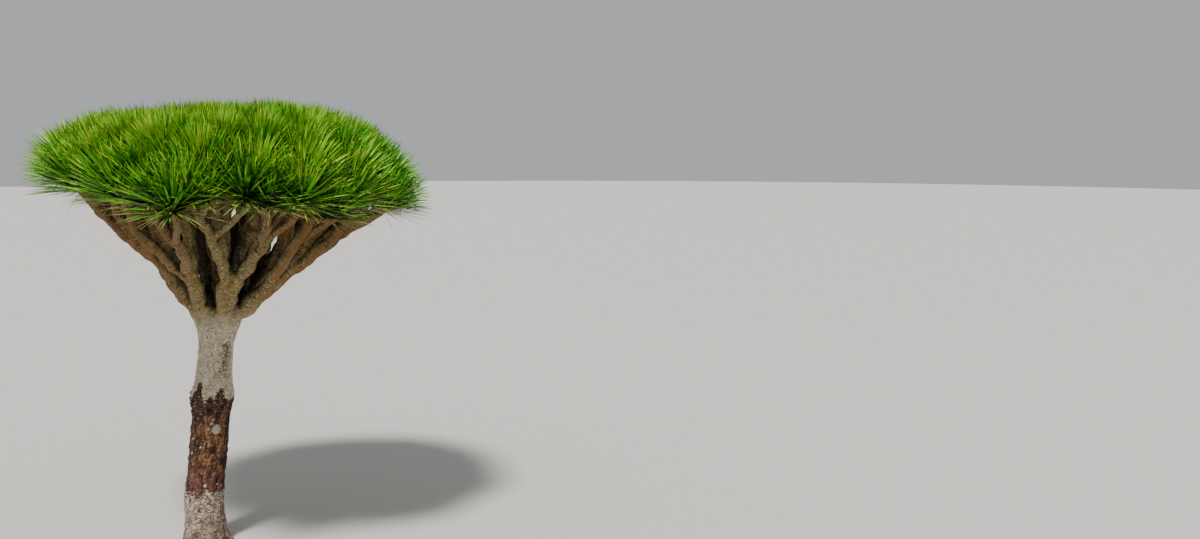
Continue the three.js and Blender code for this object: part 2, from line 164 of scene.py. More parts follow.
class LeafSizes(bpy.types.PropertyGroup):
    """The sword leaves and how a tuft holds them."""

    per_tuft: count("Leaves a tuft", 210, "Leaves in a strong tuft")
    per_weak_tuft: count("Leaves a weak tuft", 130, "Leaves in a weak tuft, as every second one is")
    length: length("Length", 0.57, "Length of a grown leaf at the rim of the crown")
    inner_length: length("Inner length", 0.53, "Length of a grown leaf in the middle of the crown")
    width: length("Width", 0.027, "Width of a leaf at its widest")
    fold: share("Fold", 0.3, "Depth of the leaf's channel, as a share of its width")
    straw: share("Straw", 0.03, "Share of a rim tuft's leaves that are dry")


class BarkColours(bpy.types.PropertyGroup):
    """The colours of the sound bark, of the trunk's foot, of its scarred band and of the limbs, and
    of the shade that is painted on the limbs.
    """

    sound: colour("Sound bark", "b0a386", "Dry cork of the upper trunk")
    bleached: colour("Bleached bark", "d8ceb6", "Its palest patches")
    flecks: colour("Flecks", "54401f", "Small dark flecks in it")
    foot: colour("Foot", "644c3b", "Bark near the ground")
    foot_dry: colour("Dry foot", "a18b77", "Its drier patches")
    foot_pits: colour("Foot pits", "2e1a10", "Pits in it")
    foot_crust: colour("Foot crust", "f2e8dc", "Pale crust that lies on it in patches")
    scar: colour("Scar", "2a1106", "Old dark wood of the scarred band")
    scar_brown: colour("Brown scar", "6b4222", "Its plates")
    scar_pale: colour("Pale scar", "8a6a48", "Its most weathered plates")
    scar_red: colour("Red scar", "56302a", "Redder wood at the band's foot and torn top")
    scar_chips: colour("Scar chips", "b99b84", "Pale chips in the band")
    scar_streaks: colour("Scar streaks", "210c04", "Dark streaks that run down the band")
    lichen: colour("Lichen", "8b7867", "Round lichens")
    lichen_pale: colour("Pale lichen", "b8aa98", "Their paler parts")
    limb: colour("Limb", "7f6c38", "Olive-brown bark of the limbs")
    limb_grey: colour("Grey limb", "897d52", "Its greyer stretches")
    limb_raised: colour("Raised limb", "a18f5e", "The parts of it that stand out")
    limb_scales: colour("Limb scales", "c6b687", "Pale scales on it")
    limb_pits: colour("Limb pits", "3c290c", "Dark pits in it")
    limb_rings: colour("Limb rings", "3a270d", "The rings that fallen leaves leave in it")
    # Partly the warmer bark under the outer limbs, and partly painted shade with warm light bounced
    # up from the ground.
    limb_under_warm_and_shade: colour("Limb underside", "7a4912", "Warmer bark under the outer limbs")
    # Painted shade: the near-black that the limbs' colour turns to where other limbs close in round
    # them.
    limb_painted_shade: colour("Limb hollows", "140b03", "Dark bark deep between the limbs")


class LeafColours(bpy.types.PropertyGroup):
    """The plain colours that are dealt out to the leaves."""

    # Deep green is painted shade at the bases of leaves, where they crowd in the tuft's heart, and
    # is also the own darker green of cool tufts' leaves.
    deep: colour("Deep green", "0d3206", "Bases of leaves, and leaves of cool tufts")
    green: colour("Green", "2a7009", "Blades")
    bright: colour("Bright green", "64b00f", "Blades and tips")
    yellow: colour("Yellow green", "a2c42c", "Tips in warm tufts")
    olive: colour("Olive", "7d8040", "Old leaves at the rim")
    straw: colour("Straw", "a3935f", "Dry leaves at the rim")


class StageSizes(bpy.types.PropertyGroup):
    """The camera, the lights, and the floor that the tree stands on."""

    camera_distance: length("Camera distance", 14.097, "From the trunk's foot, over ground")
    camera_height: length("Camera height", 4.756, "Height of the camera")
    camera_down: share("Camera down", 6.866, "Degrees that the camera looks down")
    camera_right: share("Camera right", 18.776, "Degrees that it looks past the trunk")
    camera_lens: share("Camera lens", 36.0, "Focal length in millimetres")
    key_tilt: share("Key tilt", 31.0, "Degrees that the key light leans from the upright")
    key_turn: share("Key turn", -35.0, "Degrees that it is then turned round the upright")
    key_strength: share("Key strength", 5.0, "Strength of the key light")
    key_softness: share("Key softness", 9.0, "Degrees that the key light is wide")
    sky: colour("Sky", "dfe3e8", "Colour of the soft light from all round")
    sky_strength: share("Sky strength", 0.6, "Strength of the soft light from all round")
    floor: colour("Floor", "bebbb4", "Colour of the floor")
    floor_radius: length("Floor radius", 90.0, "Radius of the floor")


class TreeSettings(bpy.types.PropertyGroup):
    """Everything that the operators read."""

    trunk: PointerProperty(type=TrunkSizes)
    crown: PointerProperty(type=CrownSizes)
    boughs: PointerProperty(type=BoughSizes)
    leaves: PointerProperty(type=LeafSizes)
    bark: PointerProperty(type=BarkColours)
    foliage: PointerProperty(type=LeafColours)
    stage: PointerProperty(type=StageSizes)


def settings():
    return bpy.context.scene.dragon_tree


# The growth rule, as in the source


def unit(vector):
    return vector / np.linalg.norm(vector)


def smoothstep(low, high, value):
    """Runs smoothly from 0 where the value is low to 1 where it is high."""
    t = np.clip((value - low) / (high - low), 0, 1)
    return t * t * (3 - 2 * t)


def scatter(index, kind):
    """A fixed number from -1 to 1 for each pair of whole numbers."""
    wave = math.sin(index * 12.9898 + kind * 78.233 + settings().crown.seed * 37.719) * 4375.8545
    return 2 * (wave - math.floor(wave)) - 1


# Share of their stray to the sides by which tufts and limbs stray up and down.
UP_AND_DOWN = 0.6


def fork_point():
    trunk = settings().trunk
    return np.array([trunk.fork_x, 0.0, trunk.fork_z])


def dome_height(x, y):
    """Height of the dome on which the tufts' feet stand, at a place in plan."""
    crown = settings().crown
    out_x, out_y = x - crown.middle_x - crown.dome_shift, y
    distance = max(math.hypot(out_x, out_y), 0.001)
    along = crown.dome_shift * out_x / distance
    to_rim = math.sqrt(along**2 + crown.rim_radius**2 - crown.dome_shift**2) - along
    drop = crown.dome_drop * (1 + crown.dome_lean * (x - crown.middle_x) / crown.rim_radius)
    return crown.dome_top - drop * (distance / to_rim) ** crown.dome_power


def dome_point(heading, reach, lower=0.0):
    x = settings().crown.middle_x + reach * math.cos(heading)
    y = reach * math.sin(heading)
    return np.array([x, y, dome_height(x, y) - lower])


RIM_BAND = (0.75, 0.98)  # shares of the rim radius between which tufts come to count as the rim's
SHOULDER_BAND = (0.6, 0.88)  # the same for the shoulder that the crown has inside its rim
SHOULDER_FADE = 0.7  # share of the shoulder's lift that is lost at the rim

# Metres by which the tufts that show are moved from the solids', so that the leaves' outline is
# true. At the rim they go out, up on the left and down in front, and inside it up or down.
OUT, OUT_RIGHT = 0.1, 0.03
UP_LEFT, DOWN_FRONT, DOWN_FRONT_LEFT = 0.1, 0.08, 0.2
UP_SHOULDER, UP_STRONG, DOWN_WEAK = 0.1, 0.03, 0.04


class Tuft:
    """The foot of a spiral of leaves: where it stands, and how far from the crown's middle.

    From 0 to 1, rim, left, right and front say how far it is out on each of them.
    """

    def __init__(self, index, foot, reach):
        crown = settings().crown
        self.index, self.foot, self.reach = index, foot, reach
        self.rim = smoothstep(*RIM_BAND, reach / crown.rim_radius)
        self.out = unit((foot - np.array([crown.middle_x, 0, 0])) * [1, 1, 0])
        self.left, self.right = max(0.0, -self.out[0]), max(0.0, self.out[0])
        self.front = max(0.0, -self.out[1])
        self.weak = index % 2 == 1

    def shown_foot(self):
        """Where its leaves stand, against the foot that it has in the solids."""
        shoulder = smoothstep(*SHOULDER_BAND, self.reach / settings().crown.rim_radius)
        shoulder *= 1 - SHOULDER_FADE * self.rim
        out = OUT + OUT_RIGHT * self.right
        lift = UP_LEFT * self.left**2 - DOWN_FRONT * self.front
        lift -= DOWN_FRONT_LEFT * self.left * self.front
        higher = UP_SHOULDER * shoulder * (1 - self.right)
        higher += (-DOWN_WEAK if self.weak else UP_STRONG) * (1 - self.rim)
        return self.foot + self.rim * (out * self.out + lift * UP) + higher * UP


def tuft_feet():
    """The tufts, set like the seeds of a sunflower and then moved a little."""
    crown = settings().crown
    tufts = []
    for i in range(crown.tufts):
        reach = crown.rim_radius * math.sqrt((i + 0.5) / crown.tufts) + crown.jitter * scatter(i, 1)
        reach = min(reach, crown.rim_radius)
        heading = i * GOLDEN_ANGLE + crown.jitter / crown.rim_radius * scatter(i, 2)
        lower = UP_AND_DOWN * crown.jitter * scatter(i, 3)
        tufts.append(Tuft(i, dome_point(heading, reach, lower), reach))
    return tufts


def heading_of(point):
    return math.atan2(point[1], point[0] - settings().crown.middle_x)


def mean(tufts):
    return np.mean([tuft.foot for tuft in tufts], axis=0)


def shares(tufts, angle, number=2):
    """A group of tufts parted across a direction in plan into halves, or into more equal shares."""
    across = np.array([math.cos(angle), math.sin(angle)])
    ranked = sorted(tufts, key=lambda tuft: tuft.foot[0] * across[0] + tuft.foot[1] * across[1])
    cuts = [math.floor(len(ranked) * k / number + 0.5) for k in range(number + 1)]
    return [ranked[low:high] for low, high in zip(cuts, cuts[1:])]


def longest_angle(tufts):
    """The direction in plan along which a group of tufts is longest."""
    x, y = (np.array([tuft.foot[:2] for tuft in tufts]) - mean(tufts)[:2]).T
    return 0.5 * math.atan2(2 * (x * y).sum(), (x * x).sum() - (y * y).sum())


def sectors(tufts, number, first_heading):
    """Tufts parted by their heading into equal sectors."""
    groups = [[] for _ in range(number)]
    for tuft in tufts:
        turn = number * (heading_of(tuft.foot) - math.radians(first_heading)) / (2 * math.pi) + 0.5
        groups[math.floor(turn + 2 * number) % number].append(tuft)
    return groups


def limb_radius(number):
    boughs = settings().boughs
    return boughs.tip_radius * number**boughs.thickening


def aim(tufts):
    """Where a limb that carries these tufts aims: under them, and towards their outer side."""
    crown, boughs = settings().crown, settings().boughs
    centre = mean(tufts)
    furthest = max(math.hypot(t.foot[0] - crown.middle_x, t.foot[1]) for t in tufts)
    middle = math.hypot(centre[0] - crown.middle_x, centre[1])
    reach = middle + boughs.outward * (furthest - middle)
    return dome_point(heading_of(centre), reach, boughs.upturn)


def towards(target, way):
    """A place on the sagging way from the trunk's top to a target."""
    crown, boughs = settings().crown, settings().boughs
    sag = boughs.sag * (1 + boughs.sag_lean * (target[0] - crown.middle_x) / crown.rim_radius)
    return fork_point() + way * (target - fork_point()) - 4 * sag * way * (1 - way) * UP


BRANCH_REACH = 0.96  # the finer branches end inside this share of the rim radius
LEFT_DROP = 0.12  # metres by which those on the left of the rim aim lower
SHOWN_SAG = 0.4  # share of the solids' sag that the finer branches keep


def shown_way(tufts, way):
    """As towards, for a finer branch: it aims under its outermost tuft, and sags less."""
    crown, boughs = settings().crown, settings().boughs
    feet = [tuft.shown_foot() for tuft in tufts]
    reach = max(math.hypot(foot[0] - crown.middle_x, foot[1]) for foot in feet)
    reach = min(reach, BRANCH_REACH * crown.rim_radius)
    target = dome_point(heading_of(np.mean(feet, axis=0)), reach, 0.5 * boughs.upturn)
    at_left = [tuft.rim * tuft.left * (0.3 + tuft.front) for tuft in tufts]
    target[2] -= LEFT_DROP * np.mean(at_left)
    straight = fork_point() + way * (target - fork_point())
    return straight + SHOWN_SAG * (towards(target, way) - straight)


# How a limb sets out: how far it has turned from its parent's heading to its own, the share of
# its length over which it bends away, and where the limbs of a fork start beside the parent's
# middle, as a share of its radius.
TURNING, SET_OUT, FORK_APART = 0.6, 0.36, 0.26


class Limb:
    """A limb of the source: its tufts, the points it runs through, and its end's heading."""

    def __init__(self, tufts, start, leaving, way, number):
        boughs = settings().boughs
        end = towards(aim(tufts), way + boughs.fork_jitter * scatter(number, 5))
        out = unit(leaving + TURNING * (unit(end - start) - leaving))
        control = start + out * SET_OUT * np.linalg.norm(end - start)
        side = unit(np.cross(end - start, UP))
        over = unit(np.cross(side, end - start))
        points = [
            (1 - t) ** 2 * start + 2 * t * (1 - t) * control + t * t * end
            for t in np.linspace(0, 1, 5)
        ]
        for k in (1, 2, 3):
            points[k] = points[k] + side * boughs.kink * scatter(number, 19 + k)
            points[k] = points[k] + over * UP_AND_DOWN * boughs.kink * scatter(number, 39 + k)
        self.tufts, self.points, self.number = tufts, points, number
        self.heading = unit(points[-1] - points[-2])
        self.end_radius = limb_radius(len(tufts))


def fork(parent, angle):
    """The two limbs of the source into which a bough forks."""
    limbs = []
    for k, group in enumerate(shares(parent.tufts, angle)):
        apart = aim(group) - parent.points[-1]
        apart = unit(apart - parent.heading * (apart @ parent.heading))
        start = parent.points[-1] + apart * FORK_APART * parent.end_radius
        number = parent.number * 2 + k + 1
        limbs.append(Limb(group, start, parent.heading, settings().boughs.second_fork, number))
    return limbs


def first_boughs():
    """The boughs that part at the trunk's top: the inner ones, and then the outer ones."""
    crown, boughs = settings().crown, settings().boughs
    tufts = tuft_feet()
    near = [t for t in tufts if t.reach < boughs.inner_reach * crown.rim_radius]
    far = [t for t in tufts if t.reach >= boughs.inner_reach * crown.rim_radius]
    groups = sectors(near, boughs.inner, boughs.inner_heading)
    groups += sectors(far, boughs.outer, boughs.outer_heading)
    grown = []
    for k, group in enumerate(groups):
        target = aim(group)
        out = unit((target - fork_point()) * [1, 1, 0])
        inner = k < boughs.inner
        start = fork_point() + out * (boughs.inner_root if inner else boughs.outer_root)
        leaving = unit(target - start)
        if not inner:
            leaving = unit(leaving + boughs.splay * (out - leaving))
        grown.append(Limb(group, start, leaving, boughs.first_fork, k + 1))
    return grown


def tuft_axis(foot):
    crown = settings().crown
    return unit(foot - np.array([crown.root_x, 0.0, crown.root_z]))


class Tree:
    """The source's boughs and limbs, and the tufts that each limb's mass of leaves holds."""

    def __init__(self):
        inner = settings().boughs.inner
        self.boughs = first_boughs()
        self.places, self.limbs = [], []
        for k, bough in enumerate(self.boughs):
            if k < inner:
                self.places.append(f"inner_{k + 1}")
                across = longest_angle(bough.tufts)
            else:
                self.places.append(f"outer_{k - inner + 1}")
                across = heading_of(mean(bough.tufts)) + math.pi / 2
            self.limbs.append(fork(bough, across))
        self.share_out()

    def share_out(self):
        """Gives each tuft to the mass whose middle is nearest in direction, as the source does."""
        limbs = [limb for pair in self.limbs for limb in pair]
        tufts = [tuft for limb in limbs for tuft in limb.tufts]
        views = np.array([tuft_axis(mean(limb.tufts)) for limb in limbs])
        owners = [int(np.argmax(views @ tuft_axis(tuft.foot))) for tuft in tufts]
        for m, limb in enumerate(limbs):
            limb.mass = [tuft for tuft, owner in zip(tufts, owners) if owner == m]


# Wood


STRAND_STEP = 0.03  # metres between the points of a strand
WAVER = 0.022  # limbs waver by this much between their forks
WAVER_LENGTH = 0.42
KNOT = 0.14  # share by which a limb swells where it forks
KNOT_LENGTH = 0.07
SWELLING = 0.07  # share by which its girth varies on the way
SWELLING_LENGTHS = (0.17, 0.07)


class Strand:
    """A stretch of wood as it shows: a smooth wavy line with a radius at each of its points."""

    def __init__(self, knots, radii, number, waver=1.0):
        self.line = wavy(smooth_line(knots), number, waver)
        self.radii = swollen(self.line, radii, number)


def smooth_line(knots):
    """Points about STRAND_STEP apart on a curve through the knots."""
    knots = [np.asarray(knot, float) for knot in knots]
    padded = [2 * knots[0] - knots[1], *knots, 2 * knots[-1] - knots[-2]]
    points = []
    for before, start, end, after in zip(padded, padded[1:], padded[2:], padded[3:]):
        pieces = max(2, round(np.linalg.norm(end - start) / STRAND_STEP))
        for t in np.arange(pieces) / pieces:
            tangent_in, tangent_out = (end - before) / 2, (after - start) / 2
            points.append(
                (2 * t**3 - 3 * t**2 + 1) * start
                + (t**3 - 2 * t**2 + t) * tangent_in
                + (3 * t**2 - 2 * t**3) * end
                + (t**3 - t**2) * tangent_out
            )
    return np.array([*points, knots[-1]])


def distances(line):
    return np.concatenate([[0.0], np.cumsum(np.linalg.norm(np.diff(line, axis=0), axis=1))])


def wavy(line, number, waver):
    """The line with small bends to both sides, which fade out at its ends."""
    along = distances(line)
    side = unit(np.cross(line[-1] - line[0], NEARLY_UP))
    over = unit(np.cross(side, line[-1] - line[0]))
    fade = np.clip(np.sin(np.pi * along / along[-1]), 0, 1) ** 0.7
    turns = 2 * np.pi * along / WAVER_LENGTH
    left = np.sin(turns + 3 * scatter(number, 61))
    left += 0.5 * np.sin(1.9 * turns + 3 * scatter(number, 62))
    high = np.sin(turns + 3 * scatter(number, 63))
    high += 0.5 * np.sin(2.3 * turns + 3 * scatter(number, 64))
    bends = left[:, None] * side + UP_AND_DOWN * high[:, None] * over
    return line + (WAVER * waver * fade)[:, None] * bends


def swollen(line, radii, number):
    """The radius at each point: tapering, a little uneven, and swollen at both forks."""
    along = distances(line)
    taper = radii[0] + (radii[1] - radii[0]) * along / along[-1]
    longer, shorter = (2 * np.pi * along / size for size in SWELLING_LENGTHS)
    uneven = 0.6 * np.sin(longer + 3 * scatter(number, 65))
    uneven += 0.4 * np.sin(shorter + 3 * scatter(number, 66))
    to_fork = np.minimum(along, along[-1] - along)
    return taper * (1 + SWELLING * uneven + KNOT * np.exp(-((to_fork / KNOT_LENGTH) ** 2)))


SLIMNESS = 1.1  # the limbs that show, against those of the source that carry as many tufts
LIMB_FORK = 0.2  # the limbs fork at this share of their solids' length
LIMB_FORK_JITTER = 0.12
BRANCHES = 3  # into this many finer branches
BRANCH_ENDS = (0.68, 0.87)  # which fork again at these shares of the way to the tufts
BRANCH_STEP = 0.04  # how much those shares vary, and the step to a fork past the last of them

# A bough starts out raised, so that the fork doesn't overhang the trunk, and has a buttress.
BOUGH_LIFT, BOUGH_LIFT_LEFT = 0.05, 0.06  # metres, and what the left adds
ROOT_DEPTH = 0.25  # metres that its root lies under the fork, inside the trunk
BUTTRESS_DEPTH = 0.12  # metres that the buttress starts under the root
BUTTRESS_END = 0.55  # share of the bough's length that the buttress runs along

# Shares of its length over which a branch or twig keeps its parent's heading, and over which a
# twig has its tuft's.
BRANCH_LEAVING, TWIG_LEAVING, TWIG_ARRIVING = 0.18, 0.2, 0.22


def shown_radius(number):
    return SLIMNESS * limb_radius(number)


def at(points, way):
    """The point at a share of the way along a list of evenly spread points."""
    place = way * (len(points) - 1)
    k = min(int(place), len(points) - 2)
    return points[k] + (place - k) * (points[k + 1] - points[k])


def bough_strands(tree):
    """The strands of the boughs and limbs, which replace the solids of the same names."""
    strands = []
    for bough, limbs in zip(tree.boughs, tree.limbs):
        out = unit((bough.points[0] - fork_point()) * [1, 1, 0])
        lift = BOUGH_LIFT + BOUGH_LIFT_LEFT * max(0.0, -out[0])
        last = len(bough.points) - 1
        points = [point + lift * (1 - k / last) * UP for k, point in enumerate(bough.points)]
        root = fork_point() + (bough.points[0] - fork_point()) * 0.5 - ROOT_DEPTH * UP
        radius = shown_radius(len(bough.tufts))
        strands.append(Strand([root, *points], (0.85 * radius, radius), bough.number, 0.4))
        buttress = [root - BUTTRESS_DEPTH * UP, at(points, BUTTRESS_END)]
        strands.append(Strand(buttress, (0.6 * radius, 0.8 * radius), bough.number, 0.2))
        for limb in limbs:
            way = LIMB_FORK + LIMB_FORK_JITTER * scatter(limb.number, 72)
            knots = [bough.points[-1], *(at(limb.points, share * way) for share in (0.33, 0.66, 1))]
            radius = shown_radius(len(limb.mass))
            strands.append(Strand(knots, (1.08 * radius, radius), limb.number))
            limb.shown_end = knots[-1]
            limb.shown_heading = unit(knots[-1] - knots[-2])
    return strands


def branch(tufts, start, heading, ends, number, found):
    """Grows the strand of a group of tufts from a fork, and those of its halves from the next."""
    radius = shown_radius(len(tufts))
    if len(tufts) == 1:
        foot = tufts[0].shown_foot()
        reach = np.linalg.norm(foot - start)
        leaving = start + TWIG_LEAVING * reach * heading
        arriving = foot - TWIG_ARRIVING * reach * tuft_axis(foot)
        knots = [start, leaving, arriving, foot]
        found.append((Strand(knots, (radius, 0.85 * radius), number, 0.3), 1))
        return
    target = shown_way(tufts, ends[0] + BRANCH_STEP * scatter(number, 73))
    reach = np.linalg.norm(target - start)
    knots = [start, start + BRANCH_LEAVING * reach * heading, target]
    found.append((Strand(knots, (1.05 * radius, radius), number, 0.8), len(tufts)))
    onward = unit(target - knots[1])
    for k, half in enumerate(shares(tufts, longest_angle(tufts))):
        branch(half, target, onward, ends[1:] or [ends[0] + BRANCH_STEP], number * 2 + k + 1, found)


def shown_wood():
    """The strands that show: boughs and limbs, then finer branches, then the twigs among leaves."""
    tree = Tree()
    strands = bough_strands(tree)
    branches, twigs = [], []
    for limb in [limb for pair in tree.limbs for limb in pair]:
        found = []
        for k, group in enumerate(shares(limb.mass, longest_angle(limb.mass), BRANCHES)):
            number = limb.number * BRANCHES + k + 1
            branch(group, limb.shown_end, limb.shown_heading, BRANCH_ENDS, number, found)
        branches += [strand for strand, carried in found if carried > 2]
        twigs += [strand for strand, carried in found if carried <= 2]
    return strands, branches, twigs


def deselect_all():
    bpy.ops.object.select_all(action="DESELECT")


def finish_piece(piece, slot, *nodes):
    """Gives a piece its body, and hides the solids of the nodes that it stands for; slot is not
    used.
    """
    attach(piece, "root")
    if nodes:
        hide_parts(*nodes)


def tubes(name, strands, sides):
    """One mesh of round tubes along the strands, made as a bevelled curve and converted."""
    curve = bpy.data.curves.new(name, "CURVE")
    curve.dimensions = "3D"
    curve.bevel_depth = 1.0
    curve.bevel_resolution = sides // 2 - 2
    curve.use_fill_caps = True
    for strand in strands:
        spline = curve.splines.new("POLY")
        spline.points.add(len(strand.line) - 1)
        spline.points.foreach_set("co", np.c_[strand.line, np.ones(len(strand.line))].ravel())
        spline.points.foreach_set("radius", strand.radii)
    piece = bpy.data.objects.new(name, curve)
    bpy.context.collection.objects.link(piece)
    deselect_all()
    piece.select_set(True)
    bpy.context.view_layer.objects.active = piece
    bpy.ops.object.convert(target="MESH")
    return bpy.context.object


def apply_modifier(piece, kind, **values):
    modifier = piece.modifiers.new(kind.title(), kind)
    for key, value in values.items():
        setattr(modifier, key, value)
    bpy.ops.object.modifier_apply(modifier=modifier.name)


def coordinates(mesh):
    values = np.empty(len(mesh.vertices) * 3, np.float32)
    mesh.vertices.foreach_get("co", values)
    return values.reshape(-1, 3).astype(float)


def directions(mesh):
    """The direction in which the surface faces at each vertex."""
    values = np.empty(len(mesh.vertices) * 3, np.float32)
    mesh.vertex_normals.foreach_get("vector", values)
    return values.reshape(-1, 3).astype(float)


def set_coordinates(mesh, places):
    mesh.vertices.foreach_set("co", places.astype(np.float32).ravel())
    mesh.update()


def store(mesh, name, values):
    """Keeps a number for each vertex, for a material to read."""
    attribute = mesh.attributes.new(name, "FLOAT", "POINT")
    attribute.data.foreach_set("value", np.asarray(values, np.float32))


def along_limbs(places, strands):
    """The distance of each place along its nearest strand: what the rings of leaf scars follow."""
    points = np.concatenate([strand.line for strand in strands])
    along = np.concatenate([distances(strand.line) for strand in strands])
    headings = np.concatenate([np.gradient(strand.line, axis=0) for strand in strands])
    headings /= np.linalg.norm(headings, axis=1, keepdims=True)
    tree = kdtree.KDTree(len(points))
    for k, point in enumerate(points):
        tree.insert(point, k)
    tree.balance()
    nearest = np.array([tree.find(place)[1] for place in places])
    return along[nearest] + ((places - points[nearest]) * headings[nearest]).sum(axis=1)


# Painted shade on the limbs: rays from each place find how far other limbs close it in, and the
# limbs' colour is darkened by that much.
SHADE_RAYS = 10  # cast from each place to find how far other limbs enclose it
SHADE_REACH = 0.6
SHADE_FAN = 0.95  # how widely they fan out round the way the surface faces
SHADE_RAY_START = 0.01  # metres above the surface


def painted_shade_share(mesh, places, normals):
    """The share of the view from each place that limbs close off within the rays' reach, which sets
    how dark the limbs' painted shade is there.
    """
    faces = [tuple(polygon.vertices) for polygon in mesh.polygons]
    tree = bvhtree.BVHTree.FromPolygons([Vector(place) for place in places], faces)
    closed = np.zeros(len(places))
    for k in range(SHADE_RAYS):
        level = 1 - 2 * (k + 0.5) / SHADE_RAYS
        around = math.sqrt(1 - level * level)
        turn = k * GOLDEN_ANGLE
        ray = np.array([around * math.cos(turn), around * math.sin(turn), level])
        leaving = normals + SHADE_FAN * ray
        leaving /= np.linalg.norm(leaving, axis=1, keepdims=True)
        starts = places + SHADE_RAY_START * normals
        for i in range(len(places)):
            if tree.ray_cast(Vector(starts[i]), Vector(leaving[i]), SHADE_REACH)[0] is not None:
                closed[i] += 1 / SHADE_RAYS
    return closed


def fractal(places, size, octaves=3):
    """Smooth noise from about -1 to 1 at each place, with lumps of a real size in metres."""
    return np.array([noise.fractal(Vector(p), 1.0, 2.0, octaves) for p in places / size])


# The trunk


TRUNK_SIDES = 180
TRUNK_RINGS = 340
TRUNK_TOP = 2.52  # the trunk's mesh ends here, inside the boughs' own
TUCK, TUCK_HEIGHT = 0.03, 0.07  # and draws in this far, over this height
ROLL_RADIUS = 0.21  # of the plain roll on which the bark's pattern is laid out

# Tongues where the scar tears up into the sound bark: degrees round the trunk, half-width in
# degrees, height in metres.
TONGUES = [
    (-136, 15, 0.18), (-97, 6, 0.04), (-76, 8, 0.06), (-65, 8, 0.13), (5, 10, 0.06),
    (52, 15, 0.13), (78, 6, 0.05), (112, 7, 0.15), (160, 22, 0.06), (171, 6, 0.14),
]
# Round lichens: degrees round the trunk, height and radius in metres. Smaller ones are scattered.
LICHENS = [
    (-72, 1.35, 0.056), (-97, 1.36, 0.013), (-88, 1.42, 0.02), (-84, 1.46, 0.012),
    (-92, 0.71, 0.02),
]
SCATTERED_LICHENS = 26
DARK_SIDES = [(-158, 32), (-20, 15)]  # of the scarred band: degrees round the trunk, half-width
FOOT_CRACK = -27  # degrees round the trunk, to the crack that runs up from its foot
FLAKES = -55  # degrees, to the strip of brown flakes that runs down from the fork

# Sizes of the relief's forms in metres: broad lumps, torn plates, knobs, grain, and the rings
# that lie round sound bark.
LUMP, PLATE, KNOB, GRAIN, RING = 0.09, 0.05, 0.035, 0.014, 0.055


def trunk_centre(height):
    trunk = settings().trunk
    leaning = np.maximum(0, (height - trunk.upright) / (trunk.fork_z - trunk.upright))
    return trunk.fork_x * leaning**0.9


def trunk_radius(height, angle):
    """The solid's profile: taper, root flare, and the swollen lip over the scarred band."""
    trunk = settings().trunk
    taper = smoothstep(trunk.scar_top, trunk.scar_top + 0.42, height)
    widen = smoothstep(trunk.fork_z - 0.3, trunk.fork_z, height)
    lobes = 1 + 0.3 * np.cos(trunk.flare_lobes * angle + 0.4)
    flare = trunk.flare * lobes * np.exp(-height / trunk.flare_height)
    lip = trunk.scar_lip * np.exp(-(((height - trunk.scar_top) / trunk.scar_lip_height) ** 2))
    stem = trunk.foot_radius + (trunk.neck_radius - trunk.foot_radius) * taper
    return stem + (trunk.fork_radius - trunk.neck_radius) * widen + flare + lip


def plates(places, size):
    """Bark plates: 0 in a crack and 1 on a plate, and a level from -1 to 1 for each plate."""
    cracks, levels = [], []
    for p in places / size:
        distance, centres = noise.voronoi(Vector(p))
        cracks.append(distance[1] - distance[0])
        levels.append(noise.cell(centres[0] * 7.3))
    return np.clip(np.array(cracks) / 0.25, 0, 1), 2 * np.array(levels) - 1


def turn_from(angle, degrees):
    """How many degrees round the trunk each angle lies from a direction."""
    return (np.degrees(angle) - degrees + 180) % 360 - 180


def scar_edges(places, angle):
    """Heights of the scarred band's ragged foot and of its torn top."""
    trunk = settings().trunk
    ragged = 0.05 * fractal(places, 0.12) + 0.03 * fractal(places, 0.035)
    stray = 4 * fractal(places + 5, 0.05)
    top = trunk.scar_top - 0.01 + ragged
    for degrees, width, height in TONGUES:
        top = top + height * np.exp(-(np.abs((turn_from(angle, degrees) + stray) / width) ** 4))
    return trunk.scar_foot + 0.05 + 1.6 * ragged + 0.05 * np.sin(angle + 0.5), top


def lichen_spots(places, height, angle):
    """How far each place lies in a lichen: 1 in the middle of one and 0 outside."""
    trunk = settings().trunk
    spots = list(LICHENS)
    for k in range(SCATTERED_LICHENS):
        degrees, z = 180 * scatter(k, 91), 1.0 + 0.9 * scatter(k, 92)
        spots.append((degrees, z, 0.009 + 0.007 * scatter(k, 93)))
    edge = 0.1 * fractal(places, 0.02, 2)
    found = np.zeros(len(height))
    for degrees, z, radius in spots:
        across = np.radians(turn_from(angle, degrees)) * trunk.foot_radius
        off = np.hypot(across, height - z) / radius + edge
        found = np.maximum(found, 1 - smoothstep(0.85, 1.1, off))
    return found


